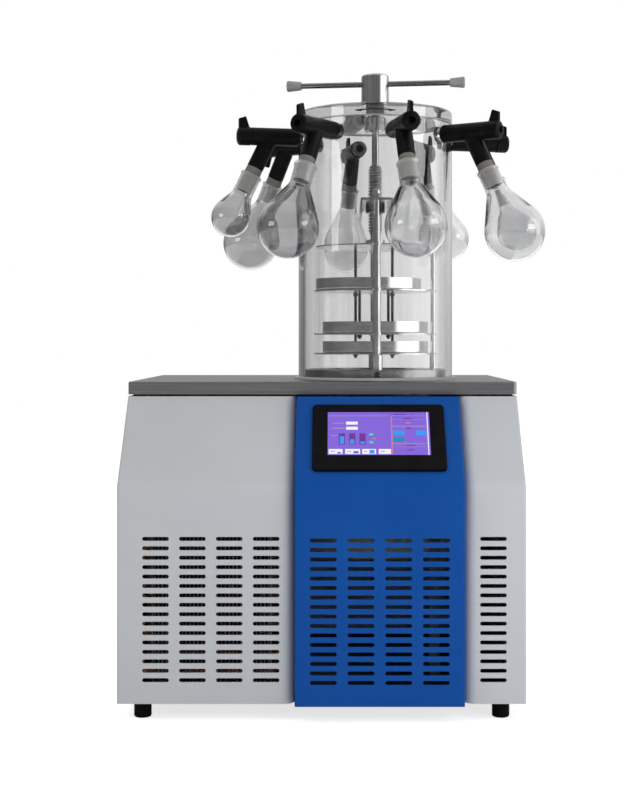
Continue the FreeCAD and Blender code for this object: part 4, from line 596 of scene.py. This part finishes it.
print("display")
screenSettings = {
    "lean": 42.47,  # the slanted face, from upright
    "wide": 156.0, "tall": 84.0, "faceUp": 1.25,  # from the glass's middle to its face
    "sunk": 0.02, "lift": 0.12, "layer": 0.012,  # the marks' backs, the first face and each next one
    "tint": (0.04, 0.06), "glow": 0.94,  # shares of each colour
    # colour, then rectangles of left, low, right, high in shares of the lit field
    "marks": [
        ("screenField", [(0, 0, 1, 1)]),
        ("screenBand", [(0.0, 0.90, 0.62, 0.925), (0.635, 0.905, 0.965, 0.925), (0.635, 0.815, 0.965, 0.83),
                        (0.635, 0.645, 0.965, 0.685), (0.635, 0.245, 0.965, 0.28),
                        (0.635, 0.185, 0.965, 0.2)]),
        ("screenOrange", [(0.622, 0.03, 0.633, 0.9), (0.43, 0.365, 0.475, 0.385),
                          (0.765, 0.735, 0.82, 0.755)]),
        ("screenDark", [(0.11, 0.24, 0.17, 0.50), (0.21, 0.24, 0.27, 0.50), (0.31, 0.24, 0.37, 0.50),
                        (0.645, 0.94, 0.77, 0.955), (0.74, 0.835, 0.83, 0.855), (0.765, 0.61, 0.82, 0.635),
                        (0.765, 0.21, 0.85, 0.23), (0.77, 0.11, 0.84, 0.13)]),
        ("screenPale", [(0.18, 0.705, 0.295, 0.775), (0.18, 0.585, 0.295, 0.655), (0.01, 0.025, 0.145, 0.14),
                        (0.17, 0.025, 0.315, 0.14), (0.335, 0.025, 0.47, 0.14), (0.495, 0.025, 0.615, 0.14),
                        (0.975, 0.0, 0.985, 1.0)]),
        ("screenFaint", [(0.05, 0.73, 0.16, 0.745), (0.04, 0.61, 0.165, 0.63), (0.03, 0.44, 0.09, 0.455),
                         (0.03, 0.075, 0.07, 0.095), (0.19, 0.075, 0.23, 0.095), (0.35, 0.075, 0.385, 0.095),
                         (0.515, 0.075, 0.555, 0.095)]),
        ("screenCyan", [(0.12, 0.255, 0.16, 0.43), (0.22, 0.255, 0.26, 0.36), (0.32, 0.255, 0.36, 0.31),
                        (0.64, 0.455, 0.75, 0.565), (0.865, 0.455, 0.965, 0.565),
                        (0.405, 0.035, 0.455, 0.12)]),
        ("screenTeal", [(0.64, 0.305, 0.75, 0.405)]),
        ("screenBlue", [(0.25, 0.04, 0.30, 0.09), (0.095, 0.035, 0.13, 0.07)]),
        ("screenGreen", [(0.405, 0.45, 0.445, 0.50), (0.405, 0.27, 0.445, 0.32)]),
    ],
}
screenColours = {
    "screenField": (0.205, 0.102, 0.68), "screenBand": (0.30, 0.18, 0.58), "screenOrange": (0.61, 0.22, 0.16),
    "screenDark": (0.125, 0.008, 0.27), "screenPale": (0.87, 0.87, 0.87), "screenFaint": (0.36, 0.30, 0.58),
    "screenCyan": (0.01, 0.30, 0.87), "screenTeal": (0.0, 0.22, 0.40), "screenBlue": (0.02, 0.10, 0.72),
    "screenGreen": (0.05, 0.62, 0.40),
}
s = screenSettings
for name, colour in screenColours.items():
    dark, light = (tuple(share * c for c in colour) for share in s["tint"])
    made[name] = solidFinish(name, {
        "dark": dark, "light": light, "tintScale": (90, 90, 90),
        "grainScale": (2500, 2500, 2500), "rough": (0.16, 0.24), "relief": 0.02, "reliefHeight": 0.0001,
        "look": {"Emission Color": (*colour, 1), "Emission Strength": s["glow"]}})

low, high = (perMetre * Vector(c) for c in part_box("display_screen"))
lean = math.radians(s["lean"])
rise = Vector((0, math.sin(lean), math.cos(lean)))
proud = Vector((0, -math.cos(lean), math.sin(lean)))
glassFace = (low + high) / 2 + proud * s["faceUp"]
shape = bmesh.new()
for layer, (name, marks) in enumerate(s["marks"]):
    for left, bottom, right, top in marks:
        corners = []
        for across, up in ((left, bottom), (right, bottom), (right, top), (left, top)):
            sideways = Vector(((across - 0.5) * s["wide"], 0, 0))
            corners.append(glassFace + sideways + rise * ((up - 0.5) * s["tall"]))
        front = [shape.verts.new(c + proud * (s["lift"] + s["layer"] * layer)) for c in corners]
        back = [shape.verts.new(c + proud * s["sunk"]) for c in corners]
        faces = [shape.faces.new(front), shape.faces.new(back[::-1])]
        for k in range(4):
            n = (k + 1) % 4
            faces.append(shape.faces.new((back[k], back[n], front[n], front[k])))
        for face in faces:
            face.material_index = list(screenColours).index(name)
addPiece("screenPicture", shape, list(screenColours), "cabinet")

bpy.context.view_layer.update()
